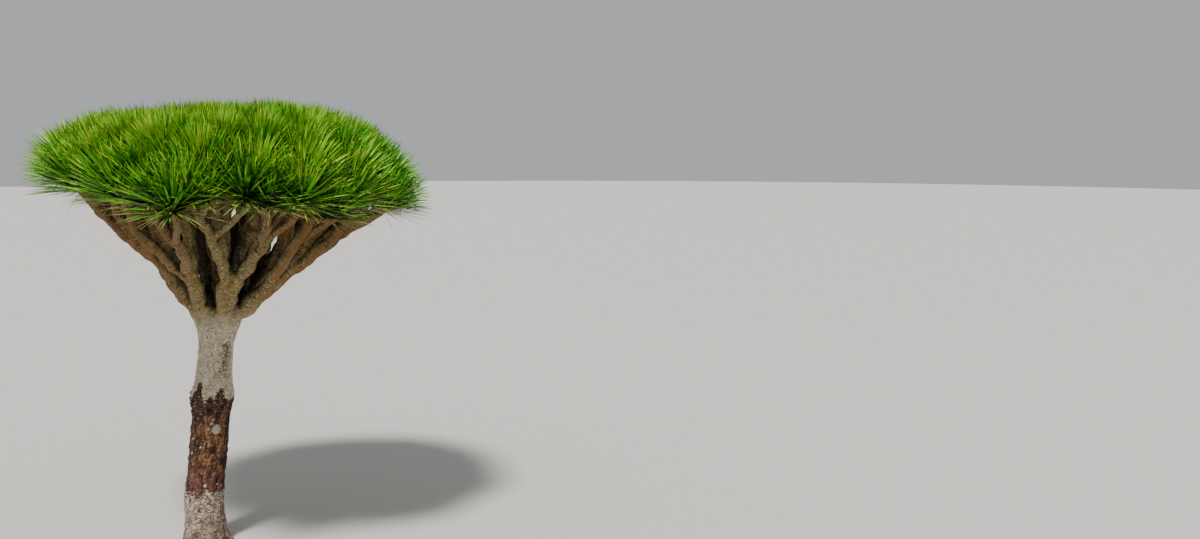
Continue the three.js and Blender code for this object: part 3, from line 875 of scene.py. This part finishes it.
def trunk_relief(places, height, angle):
    """What the bark adds to the trunk's radius, and the masks that its material reads."""
    lip = settings().trunk.scar_top
    foot, top = scar_edges(places, angle)
    lumps, knobs, grain = fractal(places, LUMP), fractal(places, KNOB), fractal(places, GRAIN, 2)
    crack, level = plates(places * [1, 1, 0.55], PLATE)
    rings = np.sin(2 * np.pi * (height / RING + 0.6 * lumps))
    scarred = smoothstep(foot - 0.02, foot + 0.02, height)
    scarred *= 1 - smoothstep(top - 0.01, top + 0.01, height)
    torn = scarred * smoothstep(lip - 0.2 + 0.08 * lumps, lip - 0.08 + 0.08 * lumps, height)
    low = 1 - smoothstep(foot - 0.15, foot, height)
    split = np.exp(-((turn_from(angle, FOOT_CRACK) + 6 * lumps) / 4) ** 2)
    split *= 1 - smoothstep(0.4, 0.6, height)
    sound = 0.005 * lumps + 0.0012 * rings + 0.002 * knobs
    sound += low * (0.005 * lumps + 0.004 * knobs) - 0.014 * split
    flaky = 0.007 * lumps + 0.005 * knobs + 0.002 * grain - 0.004
    flaky += 0.004 * level * crack - 0.005 * (1 - crack) + 0.014 * torn * (0.6 + knobs)
    relief = sound * (1 - scarred) + flaky * scarred
    sides = sum(np.exp(-((turn_from(angle, at_side) / wide) ** 2)) for at_side, wide in DARK_SIDES)
    streaks = fractal(places * [1, 1, 0.22] + 3, 0.04)
    darker = 0.25 * (1 - crack) + 0.3 * torn + 0.35 * sides
    tone = 0.5 + (0.45 - 0.2 * scarred) * lumps + 0.35 * knobs + 0.25 * grain
    tone += scarred * (0.45 * streaks - darker) - 0.8 * split
    strip = np.exp(-(((turn_from(angle, FLAKES) + 12 * lumps) / 15) ** 2))
    strip *= smoothstep(1.6, 2.4, height)
    masks = {"scarred": scarred, "torn": torn, "tone": np.clip(tone, 0, 1), "flaky": strip}
    masks["lichen"] = lichen_spots(places, height, angle)
    return relief, masks


class DRAGON_TREE_OT_trunk(bpy.types.Operator):
    """Models the trunk's bark as a grid rolled up to the trunk's profile, with its relief"""

    bl_idname = "dragon_tree.trunk"
    bl_label = "Trunk"

    def execute(self, context):
        deselect_all()
        bpy.ops.mesh.primitive_grid_add(
            x_subdivisions=TRUNK_SIDES, y_subdivisions=TRUNK_RINGS, size=1
        )
        piece = context.object
        piece.name = "trunk_bark"
        flat = coordinates(piece.data)
        angle = 2 * np.pi * (flat[:, 0] + 0.5)
        height = TRUNK_TOP * (flat[:, 1] + 0.5)
        rolled = np.c_[ROLL_RADIUS * np.cos(angle), ROLL_RADIUS * np.sin(angle), height]
        relief, masks = trunk_relief(rolled, height, angle)
        tuck = TUCK * smoothstep(TRUNK_TOP - TUCK_HEIGHT, TRUNK_TOP, height)
        radius = trunk_radius(height, angle) + relief * smoothstep(0, 0.02, height) - tuck
        across = trunk_centre(height) + radius * np.cos(angle)
        set_coordinates(piece.data, np.c_[across, radius * np.sin(angle), height])
        for name, mask in masks.items():
            store(piece.data, name, mask)
        bpy.ops.object.mode_set(mode="EDIT")
        bpy.ops.mesh.select_all(action="SELECT")
        bpy.ops.mesh.remove_doubles(threshold=0.0005)
        bpy.ops.mesh.fill_holes(sides=0)
        bpy.ops.mesh.select_all(action="SELECT")
        bpy.ops.mesh.normals_make_consistent(inside=False)
        bpy.ops.object.mode_set(mode="OBJECT")
        bpy.ops.object.shade_smooth()
        piece.data.materials.append(trunk_bark())
        finish_piece(piece, "bark", "trunk")
        return {"FINISHED"}


# The boughs and twigs

# coarse enough to keep the boughs' mesh under 200,000 triangles
VOXEL = 0.016  # metres: the size of the voxels in the boughs' remesh
BOUGH_RING = 0.12  # metres between the swellings along a limb
# The trunk's top in the boughs' mesh: heights, and what each ring adds to the trunk's radius.
COLLAR = [
    (2.30, -0.03), (2.36, -0.012), (2.42, 0.002), (2.48, 0.004), (2.56, 0.004), (2.62, -0.03),
]


def collar():
    """The top of the trunk, which the boughs' mesh takes in so that they grow out of it."""
    heights, added = np.array(COLLAR).T
    line = np.c_[trunk_centre(heights), 0 * heights, heights]
    return SimpleNamespace(line=line, radii=trunk_radius(heights, 0 * heights) + added)


class DRAGON_TREE_OT_boughs(bpy.types.Operator):
    """Models the boughs and limbs as tubes melted into one another by a remesh, with ringed bark"""

    bl_idname = "dragon_tree.boughs"
    bl_label = "Boughs"

    def execute(self, context):
        strands, branches, _ = shown_wood()
        piece = tubes("boughs", [collar(), *strands, *branches], sides=12)
        apply_modifier(piece, "REMESH", mode="VOXEL", voxel_size=VOXEL)
        apply_modifier(piece, "SMOOTH", factor=0.5, iterations=4)
        places, normals = coordinates(piece.data), directions(piece.data)
        along = along_limbs(places, strands + branches)
        # Painted shade: how far other limbs close in round each place, which darkens the bark's
        # colour.
        store(piece.data, "painted_shade_share", painted_shade_share(piece.data, places, normals))
        lumps, small = fractal(places, 0.11, 2), fractal(places, 0.03, 2)
        rings = np.sin(2 * np.pi * (along / BOUGH_RING + 0.9 * lumps))
        relief = 0.005 * lumps + 0.0015 * rings + 0.003 * small
        set_coordinates(piece.data, places + normals * relief[:, None])
        store(piece.data, "along", along)
        store(piece.data, "tone", np.clip(0.5 + 0.4 * lumps + 0.4 * small, 0, 1))
        bpy.ops.object.shade_smooth()
        piece.data.materials.append(limb_bark())
        nodes = [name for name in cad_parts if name.startswith(("bough_", "limb_"))]
        finish_piece(piece, "young_bark", *nodes)
        return {"FINISHED"}


TWIG_PAINTED_SHADE = 0.35  # painted shade on the twigs, the same everywhere, as they all lie about as deep among the leaves


class DRAGON_TREE_OT_twigs(bpy.types.Operator):
    """Models the twigs that carry the leaf tufts"""

    bl_idname = "dragon_tree.twigs"
    bl_label = "Twigs"

    def execute(self, context):
        _, _, twigs = shown_wood()
        piece = tubes("twigs", twigs, sides=10)
        places = coordinates(piece.data)
        store(piece.data, "along", along_limbs(places, twigs))
        store(piece.data, "painted_shade_share", np.full(len(places), TWIG_PAINTED_SHADE))
        store(piece.data, "tone", np.clip(0.5 + 0.5 * fractal(places, 0.07, 2), 0, 1))
        bpy.ops.object.shade_smooth()
        piece.data.materials.append(limb_bark())
        finish_piece(piece, "young_bark")
        return {"FINISHED"}


# Leaves

# Stations along a leaf, as shares of its length, and its width there as a share of the widest.
STATIONS = np.array([0.0, 0.3, 0.68])
WIDTHS = np.array([0.9, 1.0, 0.8])

# The leaves' materials, in the order in which the meshes number them, and where each is coloured.
LEAF_FINISHES = {
    "leaf_deep_green_and_base_shade": "deep",
    "leaf_green": "green",
    "leaf_bright_green": "bright",
    "leaf_yellow_green": "yellow",
    "leaf_old_olive": "olive",
    "leaf_dry_straw": "straw",
}
DEEP_AND_BASE_SHADE, GREEN, BRIGHT, YELLOW, OLIVE, STRAW = range(len(LEAF_FINISHES))

# How a tuft opens, from its newest leaves along its axis to its oldest all round.
OPENING, RIM_OPENING = 41, 37  # degrees, and what the rim adds
LOWEST, LOWEST_LEFT = -0.12, 0.17  # least rise of a leaf's heading, and what the rim's left adds
UPRIGHT, UPRIGHT_SIDES = 0.12, 0.3  # how a rim tuft's axis turns up, and what both sides add
AXIS_JITTER = 0.12
NEST = 0.026  # metres from a tuft's axis to the roots of its leaves
TWIST = 0.5  # radians by which leaves turn about their own length

# How leaves vary with age, from 0 to 1, and at random.
OLD_AT_RIM = 0.79  # older leaves of the rim are olive
DRY_FROM = 0.8  # some that are older still are dry, shorter and narrower, and hang
DRY_LENGTH, DRY_WIDTH = 0.55, 0.7
WEAK_LENGTH = 0.88  # length of a weak tuft's leaves
LEFT_LENGTH = 0.06  # how much longer leaves are at the rim's left
OLD_NARROWING = 0.45  # how much narrower the rim's oldest are
LENGTH_JITTER, WIDTH_JITTER, SAG_JITTER = 0.08, 0.15, 0.4

# Where tufts are warmer, that is more olive, or cooler where the amount is negative: x and y as
# seen from above, how far it reaches, and the amount.
WARM_PLACES = [
    (-0.1, 0.4, 0.25, 0.7), (1.3, 0.2, 0.3, 0.6), (-1.1, -0.2, 0.5, 0.5), (2.0, -0.4, 0.7, -0.5),
]
# The colours of a leaf's base, blade and tip, for a warmth below each of these.
# A deep green base is painted shade from the crowded heart of the tuft; on the blades of cool tufts
# deep green is their own colour.
TINTS = [
    (-0.45, (DEEP_AND_BASE_SHADE, DEEP_AND_BASE_SHADE, GREEN)),
    (0.1, (DEEP_AND_BASE_SHADE, GREEN, BRIGHT)),
    (0.45, (DEEP_AND_BASE_SHADE, BRIGHT, BRIGHT)),
    (0.95, (DEEP_AND_BASE_SHADE, BRIGHT, YELLOW)),
    (math.inf, (GREEN, OLIVE, YELLOW)),
]


def shown_axis(tuft):
    """The way a tuft points: as in the source, but more upright at the rim, and with a stray."""
    stray = np.array([scatter(tuft.index, 75), scatter(tuft.index, 76), 0]) * AXIS_JITTER
    upright = (UPRIGHT + UPRIGHT_SIDES * abs(tuft.out[0])) * tuft.rim
    return unit(tuft_axis(tuft.foot) + upright * UP + stray)


def tuft_warmth(tuft):
    """How far a tuft's leaves lean to yellow and olive, from about -1 to 1."""
    warmth = 0.5 * scatter(tuft.index, 78) + 0.14 * (1 - tuft.rim) + (-0.25 if tuft.weak else 0.12)
    for x, y, reach, amount in WARM_PLACES:
        off = math.hypot(tuft.foot[0] - x, tuft.foot[1] - y) / reach
        warmth += amount * math.exp(-(off**2))
    return warmth


def leaf_tints(age, warmth, rim):
    """The colours of a leaf's base, blade and tip."""
    if age > OLD_AT_RIM and rim > 0.4:
        return OLIVE, OLIVE, OLIVE if warmth < 0.7 else YELLOW
    return next(tints for below, tints in TINTS if warmth < below)


def grown_length(tuft):
    """The length of a tuft's grown leaves."""
    leaves = settings().leaves
    grown = leaves.inner_length + tuft.rim * (leaves.length - leaves.inner_length)
    grown *= (WEAK_LENGTH if tuft.weak else 1.0) * (1 + 0.05 * scatter(tuft.index, 77))
    return grown * (1 + LEFT_LENGTH * tuft.rim * tuft.left)


def tuft_leaves(tuft):
    """A row for each leaf: root, direction, across, length, width, sag and its three colours."""
    leaves, rim = settings().leaves, tuft.rim
    axis = shown_axis(tuft)
    side = unit(np.cross(np.array([0.0, 1.0, 0.2]), axis))
    over = np.cross(axis, side)
    number = leaves.per_weak_tuft if tuft.weak else leaves.per_tuft
    grown, warmth = grown_length(tuft), tuft_warmth(tuft)
    rows = []
    for k in range(number):
        age = (k + 0.5) / number
        chance = [scatter(tuft.index * 331 + k, kind) for kind in range(80, 87)]
        turn = k * GOLDEN_ANGLE + 0.25 * chance[0]
        round_axis = side * math.cos(turn) + over * math.sin(turn)
        spread = math.radians(OPENING + RIM_OPENING * rim) * age ** (0.8 - 0.2 * rim)
        spread += math.radians(4) * chance[1]
        direction = axis * math.cos(spread) + round_axis * math.sin(spread)
        direction[2] = max(direction[2], LOWEST + LOWEST_LEFT * rim * tuft.left)
        direction = unit(direction)
        across = unit(np.cross(direction, axis + 0.001 * side))
        lift = np.cross(across, direction)
        twist = TWIST * chance[2]
        across = unit(across * math.cos(twist) + lift * math.sin(twist))
        size = grown * (0.8 + 0.2 * smoothstep(0, 0.25, age)) * (1 + LENGTH_JITTER * chance[3])
        root = tuft.shown_foot() + axis * (0.03 - 0.08 * age) + round_axis * NEST
        sag = size * (0.01 + 0.07 * age**3 * math.sin(spread) * (0.5 + rim))
        sag *= 1 + SAG_JITTER * chance[4]
        width = leaves.width * (1 + WIDTH_JITTER * chance[5]) * (1 - OLD_NARROWING * age * rim)
        tints = leaf_tints(age + 0.1 * chance[6], warmth + 0.9 * chance[5], rim)
        dry_share = leaves.straw / (1 - DRY_FROM)
        if age > DRY_FROM and rim > 0.5 and 0.5 + 0.5 * chance[0] < dry_share:
            tints = STRAW, STRAW, STRAW
            direction = unit(direction - (0.4 + 0.4 * chance[3]) * UP)
            size *= DRY_LENGTH
            width *= DRY_WIDTH
        rows.append((root, direction, across, size, width, sag, tints))
    return rows


BOX_MARGIN = 0.028  # share of the solids' box that leaves may stand out of it on each side
LEAST_LENGTH = 0.3  # share of its own length that a leaf keeps at least


def inside(roots, tips):
    """The share of its length that each leaf has inside the solids' box and its margin."""
    low, high = np.array(CAD_BOX)
    margin = BOX_MARGIN * (high - low)
    reach = tips - roots
    ends = np.where(reach > 0, high + margin, low - margin) - roots
    kept = ends / np.where(np.abs(reach) < 1e-6, 1e-6, reach)
    return np.clip(kept.min(axis=1), LEAST_LENGTH, 1)


def leaf_mesh(name, rows):
    """One mesh of folded sword leaves: at each station a left edge, a midrib and a right edge,
    and then the tip."""
    root, direction, across = (np.array([row[k] for row in rows]) for k in range(3))
    size, width, sag = (np.array([row[k] for row in rows]) for k in range(3, 6))
    size *= inside(root, root + direction * size[:, None] - UP * sag[:, None])
    fold = np.cross(across, direction)
    fold *= np.sign(fold[:, 2:3] + 1e-9)
    points = []
    for station, wide in zip(STATIONS, WIDTHS):
        middle = root + direction * (size * station)[:, None] - UP * (sag * station**2)[:, None]
        half = across * (0.5 * width * wide)[:, None]
        channel = fold * (settings().leaves.fold * width * wide)[:, None] * 0.5
        points += [middle - half + channel, middle - channel, middle + half + channel]
    tip = root + direction * size[:, None] - UP * sag[:, None]
    vertices = np.stack([*points, tip], axis=1)
    number = vertices.shape[1]
    faces, tints = [], []
    for k in range(len(STATIONS) - 1):
        a = 3 * k
        faces += [(a, a + 1, a + 4, a + 3), (a + 1, a + 2, a + 5, a + 4)]
        tints += [k, k]
    last = 3 * (len(STATIONS) - 1)
    end = number - 1
    faces += [(last, last + 1, end, end), (last + 1, last + 2, end, end)]
    tints += [2, 2]
    return joined_mesh(name, vertices, faces, np.array([row[6] for row in rows])[:, tints])


def joined_mesh(name, vertices, faces, tints):
    """A mesh of many like leaves; a face whose last two corners are the same is a triangle."""
    copies, number = vertices.shape[:2]
    loops, starts, start = [], [], 0
    for face in faces:
        corners = face[:3] if face[2] == face[3] else face
        loops += corners
        starts.append(start)
        start += len(corners)
    steps = np.arange(copies, dtype=np.int32)[:, None]
    loops = np.array(loops, np.int32) + steps * number
    starts = np.array(starts, np.int32) + steps * start
    mesh = bpy.data.meshes.new(name)
    mesh.vertices.add(copies * number)
    mesh.vertices.foreach_set("co", vertices.astype(np.float32).ravel())
    mesh.loops.add(loops.size)
    mesh.loops.foreach_set("vertex_index", loops.astype(np.int32).ravel())
    mesh.polygons.add(copies * len(faces))
    mesh.polygons.foreach_set("loop_start", starts.astype(np.int32).ravel())
    mesh.polygons.foreach_set("material_index", tints.astype(np.int32).ravel())
    mesh.update(calc_edges=True)
    mesh.validate()
    return mesh


class DRAGON_TREE_OT_leaves(bpy.types.Operator):
    """Models the leaf tufts, joined into one piece for each first bough"""

    bl_idname = "dragon_tree.leaves"
    bl_label = "Leaves"

    def execute(self, context):
        tree = Tree()
        materials = [leaf_material(name, key) for name, key in LEAF_FINISHES.items()]
        for place, limbs in zip(tree.places, tree.limbs):
            rows = [row for limb in limbs for tuft in limb.mass for row in tuft_leaves(tuft)]
            mesh = leaf_mesh(f"foliage_{place}", rows)
            for material in materials:
                mesh.materials.append(material)
            piece = bpy.data.objects.new(mesh.name, mesh)
            context.collection.objects.link(piece)
            finish_piece(piece, "foliage", f"leaves_{place}a", f"leaves_{place}b")
        return {"FINISHED"}


# Materials

# Each kind of node that the materials use: its type, its settings, the inputs that a call fills
# in this order, and the output that it gives.
NODES = {
    "mask": ("ShaderNodeAttribute", {}, (), "Fac"),
    "place": ("ShaderNodeTexCoord", {}, (), "Object"),
    "scaled": ("ShaderNodeMapping", {}, ("Vector", "Scale"), 0),
    "facing": ("ShaderNodeNewGeometry", {}, (), "Normal"),
    "x of": ("ShaderNodeSeparateXYZ", {}, ("Vector",), "X"),
    "z of": ("ShaderNodeSeparateXYZ", {}, ("Vector",), "Z"),
    "noise": ("ShaderNodeTexNoise", {}, ("Vector", "Scale", "Detail", "Roughness"), "Fac"),
    "between": ("ShaderNodeMapRange", {"clamp": True}, ("Value", "From Min", "From Max"), 0),
    "mix": ("ShaderNodeMix", {"data_type": "RGBA"}, (0, 6, 7), 2),
    "bump": ("ShaderNodeBump", {}, ("Strength", "Distance", "Height"), 0),
    "times": ("ShaderNodeMath", {"operation": "MULTIPLY"}, (0, 1), 0),
    "times plus": ("ShaderNodeMath", {"operation": "MULTIPLY_ADD"}, (0, 1, 2), 0),
    "minus": ("ShaderNodeMath", {"operation": "SUBTRACT"}, (0, 1), 0),
    "greater": ("ShaderNodeMath", {"operation": "MAXIMUM"}, (0, 1), 0),
    "power": ("ShaderNodeMath", {"operation": "POWER"}, (0, 1), 0),
    "size of": ("ShaderNodeMath", {"operation": "ABSOLUTE"}, (0,), 0),
    "sine": ("ShaderNodeMath", {"operation": "SINE"}, (0,), 0),
}


def add_node(material, kind, *inputs, **values):
    """Adds a node with its settings, gives each input a link or a value, and gives its output."""
    node_type, settings_of_kind, sockets, output = NODES[kind]
    node = material.node_tree.nodes.new(node_type)
    for key, value in {**settings_of_kind, **values}.items():
        setattr(node, key, value)
    for socket, value in zip(sockets, inputs):
        if isinstance(value, bpy.types.NodeSocket):
            material.node_tree.links.new(value, node.inputs[socket])
        else:
            node.inputs[socket].default_value = rgba(value) if isinstance(value, Color) else value
    return node.outputs[output]


def rgba(plain_colour):
    return (*plain_colour, 1.0)


def new_material(name, roughness, ior):
    """A material with one main shader, and the shader's inputs."""
    material = bpy.data.materials.new(name)
    material.use_nodes = True
    inputs = material.node_tree.nodes["Principled BSDF"].inputs
    inputs["Roughness"].default_value = roughness
    inputs["IOR"].default_value = ior
    return material, inputs


def grained(node, size, detail=4.0, roughness=0.6, stretch=(1, 1, 1)):
    """Noise whose lumps have a real size in metres, on the object's own coordinates."""
    return node("noise", node("scaled", node("place"), stretch), 1 / size, detail, roughness)


def laid(node, under, over, value, low, high):
    """A colour laid over another: not at all where a value is low, and fully where it is high."""
    return node("mix", node("between", value, low, high), under, over)


# Sizes of the patterns in metres. Cork grain, pits and scales are 2 to 8 mm on the tree, which is
# too fine to show from 14 m, so their noise is drawn 13 to 24 mm coarse, with finer detail in it.
CORK_PATCH, CORK_GRAIN = 0.05, 0.02
SCAR_STREAK = 0.06
LIMB_STRETCH, LIMB_PATCH, LIMB_PIT, LIMB_SCALE = 0.3, 0.05, 0.013, 0.024
RINGS_A_METRE = 52.0 / math.pi  # rings of leaf scars, about 60 mm apart on limbs of this age
BUMP_TRUNK, BUMP_LIMB = 0.008, 0.012  # depths of the finest relief

# Where the bark changes on its way up, in metres above the ground.
FOOT_CRUST = (0.0, 0.5)
FOOT_TO_SOUND = (0.75, 1.3)
SCAR_RED = (0.95, 0.78)
SOUND_TO_LIMB = (2.64, 2.88)
TRUNK_MIDDLE = 0.3  # x of the trunk's top, from which limbs count as outer ones


def sound_bark(node, coarse, fine):
    """The colour of sound old bark: dry grey-beige cork with small dark flecks."""
    bark = settings().bark
    pale = laid(node, bark.sound, bark.bleached, coarse, 0.38, 0.62)
    return laid(node, pale, bark.flecks, fine, 0.535, 0.59)


def trunk_bark():
    """Old dragon tree bark: pale, dry and corky, and dark red-brown wood in the scarred band."""
    material, inputs = new_material("old_corky_bark", 0.88, 1.45)
    node, bark = partial(add_node, material), settings().bark
    tone, scarred, torn, flaky, lichen_mask = (
        node("mask", attribute_name=name) for name in ("tone", "scarred", "torn", "flaky", "lichen")
    )
    height = node("z of", node("place"))
    coarse = grained(node, CORK_PATCH, stretch=(1, 1, 0.5))
    fine = grained(node, CORK_GRAIN, 5.0, 0.7, stretch=(1, 1, 1.8))
    other = grained(node, CORK_GRAIN, 4.0, 0.75)
    pale = sound_bark(node, coarse, node("times plus", flaky, 0.12, fine))
    foot = laid(node, bark.foot, bark.foot_dry, tone, 0.15, 0.95)
    foot = laid(node, foot, bark.foot_pits, other, 0.515, 0.575)
    low_patches = node("between", height, *FOOT_CRUST)
    low_patches = node("times", node("between", coarse, 0.42, 0.58), low_patches)
    crust = node("times", node("between", fine, 0.51, 0.57), low_patches)
    foot = node("mix", crust, foot, bark.foot_crust)
    pale = laid(node, foot, pale, height, *FOOT_TO_SOUND)
    dark = laid(node, bark.scar, bark.scar_brown, tone, 0.1, 0.5)
    dark = laid(node, dark, bark.scar_pale, tone, 0.5, 0.9)
    red = node("times", node("between", height, *SCAR_RED), 0.6)
    red = node("greater", red, node("times", torn, 0.4))
    dark = node("mix", red, dark, bark.scar_red)
    dark = laid(node, dark, bark.scar_chips, node("times plus", torn, 0.04, other), 0.6, 0.65)
    streaky = grained(node, SCAR_STREAK, 5.0, 0.65, stretch=(1, 1, 0.35))
    dark = laid(node, dark, bark.scar_streaks, streaky, 0.53, 0.57)
    lichen = laid(node, bark.lichen, bark.lichen_pale, other, 0.4, 0.6)
    shown = node("mix", lichen_mask, node("mix", scarred, pale, dark), lichen)
    relief = node("bump", 1.0, BUMP_TRUNK, node("times plus", other, 0.6, fine))
    material.node_tree.links.new(shown, inputs["Base Color"])
    material.node_tree.links.new(relief, inputs["Normal"])
    return material


def limb_bark():
    """Younger bark: olive-brown and matt, with the closed rings that fallen leaves leave, painted
    shade deep among the limbs, and undersides that are partly warmer bark and partly painted shade
    with warm light bounced from the ground.
    """
    if "ringed_young_bark" in bpy.data.materials:
        return bpy.data.materials["ringed_young_bark"]
    material, inputs = new_material("ringed_young_bark", 0.8, 1.45)
    node, bark = partial(add_node, material), settings().bark
    tone, along, painted_shade_mask = (
        node("mask", attribute_name=name) for name in ("tone", "along", "painted_shade_share")
    )
    coarse = grained(node, LIMB_STRETCH, 3.0, 0.5)
    middle = grained(node, LIMB_PATCH)
    fine = grained(node, LIMB_PIT, 5.0, 0.7)
    other = grained(node, LIMB_SCALE, 4.0, 0.75)
    young = laid(node, bark.limb, bark.limb_grey, coarse, 0.42, 0.58)
    young = laid(node, young, bark.limb_raised, tone, 0.35, 0.9)
    young = laid(node, young, bark.limb_scales, other, 0.55, 0.6)
    young = laid(node, young, bark.limb_pits, fine, 0.545, 0.59)
    waver = node("times plus", middle, 5.0, node("times", along, math.pi * RINGS_A_METRE))
    ring = node("power", node("size of", node("sine", waver)), 0.35)
    patchy = node("times", node("between", ring, 0.75, 0.5), node("between", middle, 0.4, 0.58))
    young = node("mix", patchy, young, bark.limb_rings)
    # Faces turned down on the outer limbs are warmer and darker: partly the bark's own underside,
    # and partly painted shade with warm light bounced from the ground.
    from_middle = node("size of", node("minus", node("x of", node("place")), TRUNK_MIDDLE))
    outer = node("times plus", node("between", from_middle, 0.25, 0.8), 0.6, 0.2)
    under = node("between", node("z of", node("facing")), 0.15, -0.65)
    young = node("mix", node("times", under, outer), young, bark.limb_under_warm_and_shade)
    rising = node("times plus", middle, 0.3, node("z of", node("place")))
    shown = laid(node, sound_bark(node, middle, fine), young, rising, *SOUND_TO_LIMB)
    # Painted shade: the colour turns near-black where other limbs close in round the bark, deep
    # inside the crown.
    shown = laid(node, shown, bark.limb_painted_shade, painted_shade_mask, 0.26, 0.82)
    relief = node("bump", 1.0, BUMP_LIMB, node("times plus", ring, 0.2, fine))
    material.node_tree.links.new(shown, inputs["Base Color"])
    material.node_tree.links.new(relief, inputs["Normal"])
    return material


def leaf_material(name, key):
    """A stiff waxy leaf: one plain colour, with a soft shine along the blade."""
    material, inputs = new_material(name, 0.5, 1.42)
    inputs["Base Color"].default_value = rgba(getattr(settings().foliage, key))
    return material


def floor_material():
    """Matt pale studio floor."""
    material, inputs = new_material("pale_floor", 0.9, 1.5)
    inputs["Base Color"].default_value = rgba(settings().stage.floor)
    return material


# Stage


FILM_WIDTH = 36  # millimetres across the picture in the camera
SIGHT = 300  # metres that the camera sees, which is past the floor


class DRAGON_TREE_OT_stage(bpy.types.Operator):
    """Sets the floor, the soft lights and the camera"""

    bl_idname = "dragon_tree.stage"
    bl_label = "Stage"

    def execute(self, context):
        stage = settings().stage
        deselect_all()
        bpy.ops.mesh.primitive_circle_add(
            vertices=96, radius=stage.floor_radius, fill_type="NGON"
        )
        floor = context.object
        floor.name = "floor"
        floor.data.materials.append(floor_material())
        tilt, turn = math.radians(stage.key_tilt), math.radians(stage.key_turn)
        bpy.ops.object.light_add(type="SUN", rotation=(tilt, 0, turn))
        key = context.object
        key.name = "key_light"
        key.data.energy = stage.key_strength
        key.data.angle = math.radians(stage.key_softness)
        world = bpy.data.worlds.new("pale_studio")
        world.use_nodes = True
        light = world.node_tree.nodes["Background"].inputs
        light["Color"].default_value = rgba(stage.sky)
        light["Strength"].default_value = stage.sky_strength
        context.scene.world = world
        bpy.ops.object.camera_add(
            location=(0, -stage.camera_distance, stage.camera_height),
            rotation=(math.radians(90 - stage.camera_down), 0, math.radians(-stage.camera_right)),
        )
        camera = context.object
        camera.name = "camera"
        camera.data.sensor_width = FILM_WIDTH
        camera.data.lens = stage.camera_lens
        camera.data.clip_end = SIGHT
        context.scene.camera = camera
        return {"FINISHED"}


# Panel and registration

OPERATORS = [
    DRAGON_TREE_OT_trunk,
    DRAGON_TREE_OT_boughs,
    DRAGON_TREE_OT_twigs,
    DRAGON_TREE_OT_leaves,
    DRAGON_TREE_OT_stage,
]


class DRAGON_TREE_PT_panel(bpy.types.Panel):
    """The operators, and the sizes that they read"""

    bl_idname = "DRAGON_TREE_PT_panel"
    bl_label = "Dragon Blood Tree"
    bl_space_type = "VIEW_3D"
    bl_region_type = "UI"
    bl_category = "Tree"

    def draw(self, context):
        for operator in OPERATORS:
            self.layout.operator(operator.bl_idname)
        for group in TreeSettings.__annotations__:
            box = self.layout.box()
            box.label(text=group.title())
            values = getattr(settings(), group)
            for key in values.__annotations__:
                box.prop(values, key)


GROUPS = [TrunkSizes, CrownSizes, BoughSizes, LeafSizes, BarkColours, LeafColours, StageSizes]
CLASSES = [*GROUPS, TreeSettings, *OPERATORS, DRAGON_TREE_PT_panel]


def register():
    for cls in CLASSES:
        bpy.utils.register_class(cls)
    bpy.types.Scene.dragon_tree = PointerProperty(type=TreeSettings)


def unregister():
    del bpy.types.Scene.dragon_tree
    for cls in reversed(CLASSES):
        bpy.utils.unregister_class(cls)


def main():
    register()
    bpy.ops.dragon_tree.stage()
    bpy.ops.dragon_tree.trunk()
    bpy.ops.dragon_tree.boughs()
    bpy.ops.dragon_tree.twigs()
    bpy.ops.dragon_tree.leaves()


if __name__ == "__main__":
    main()
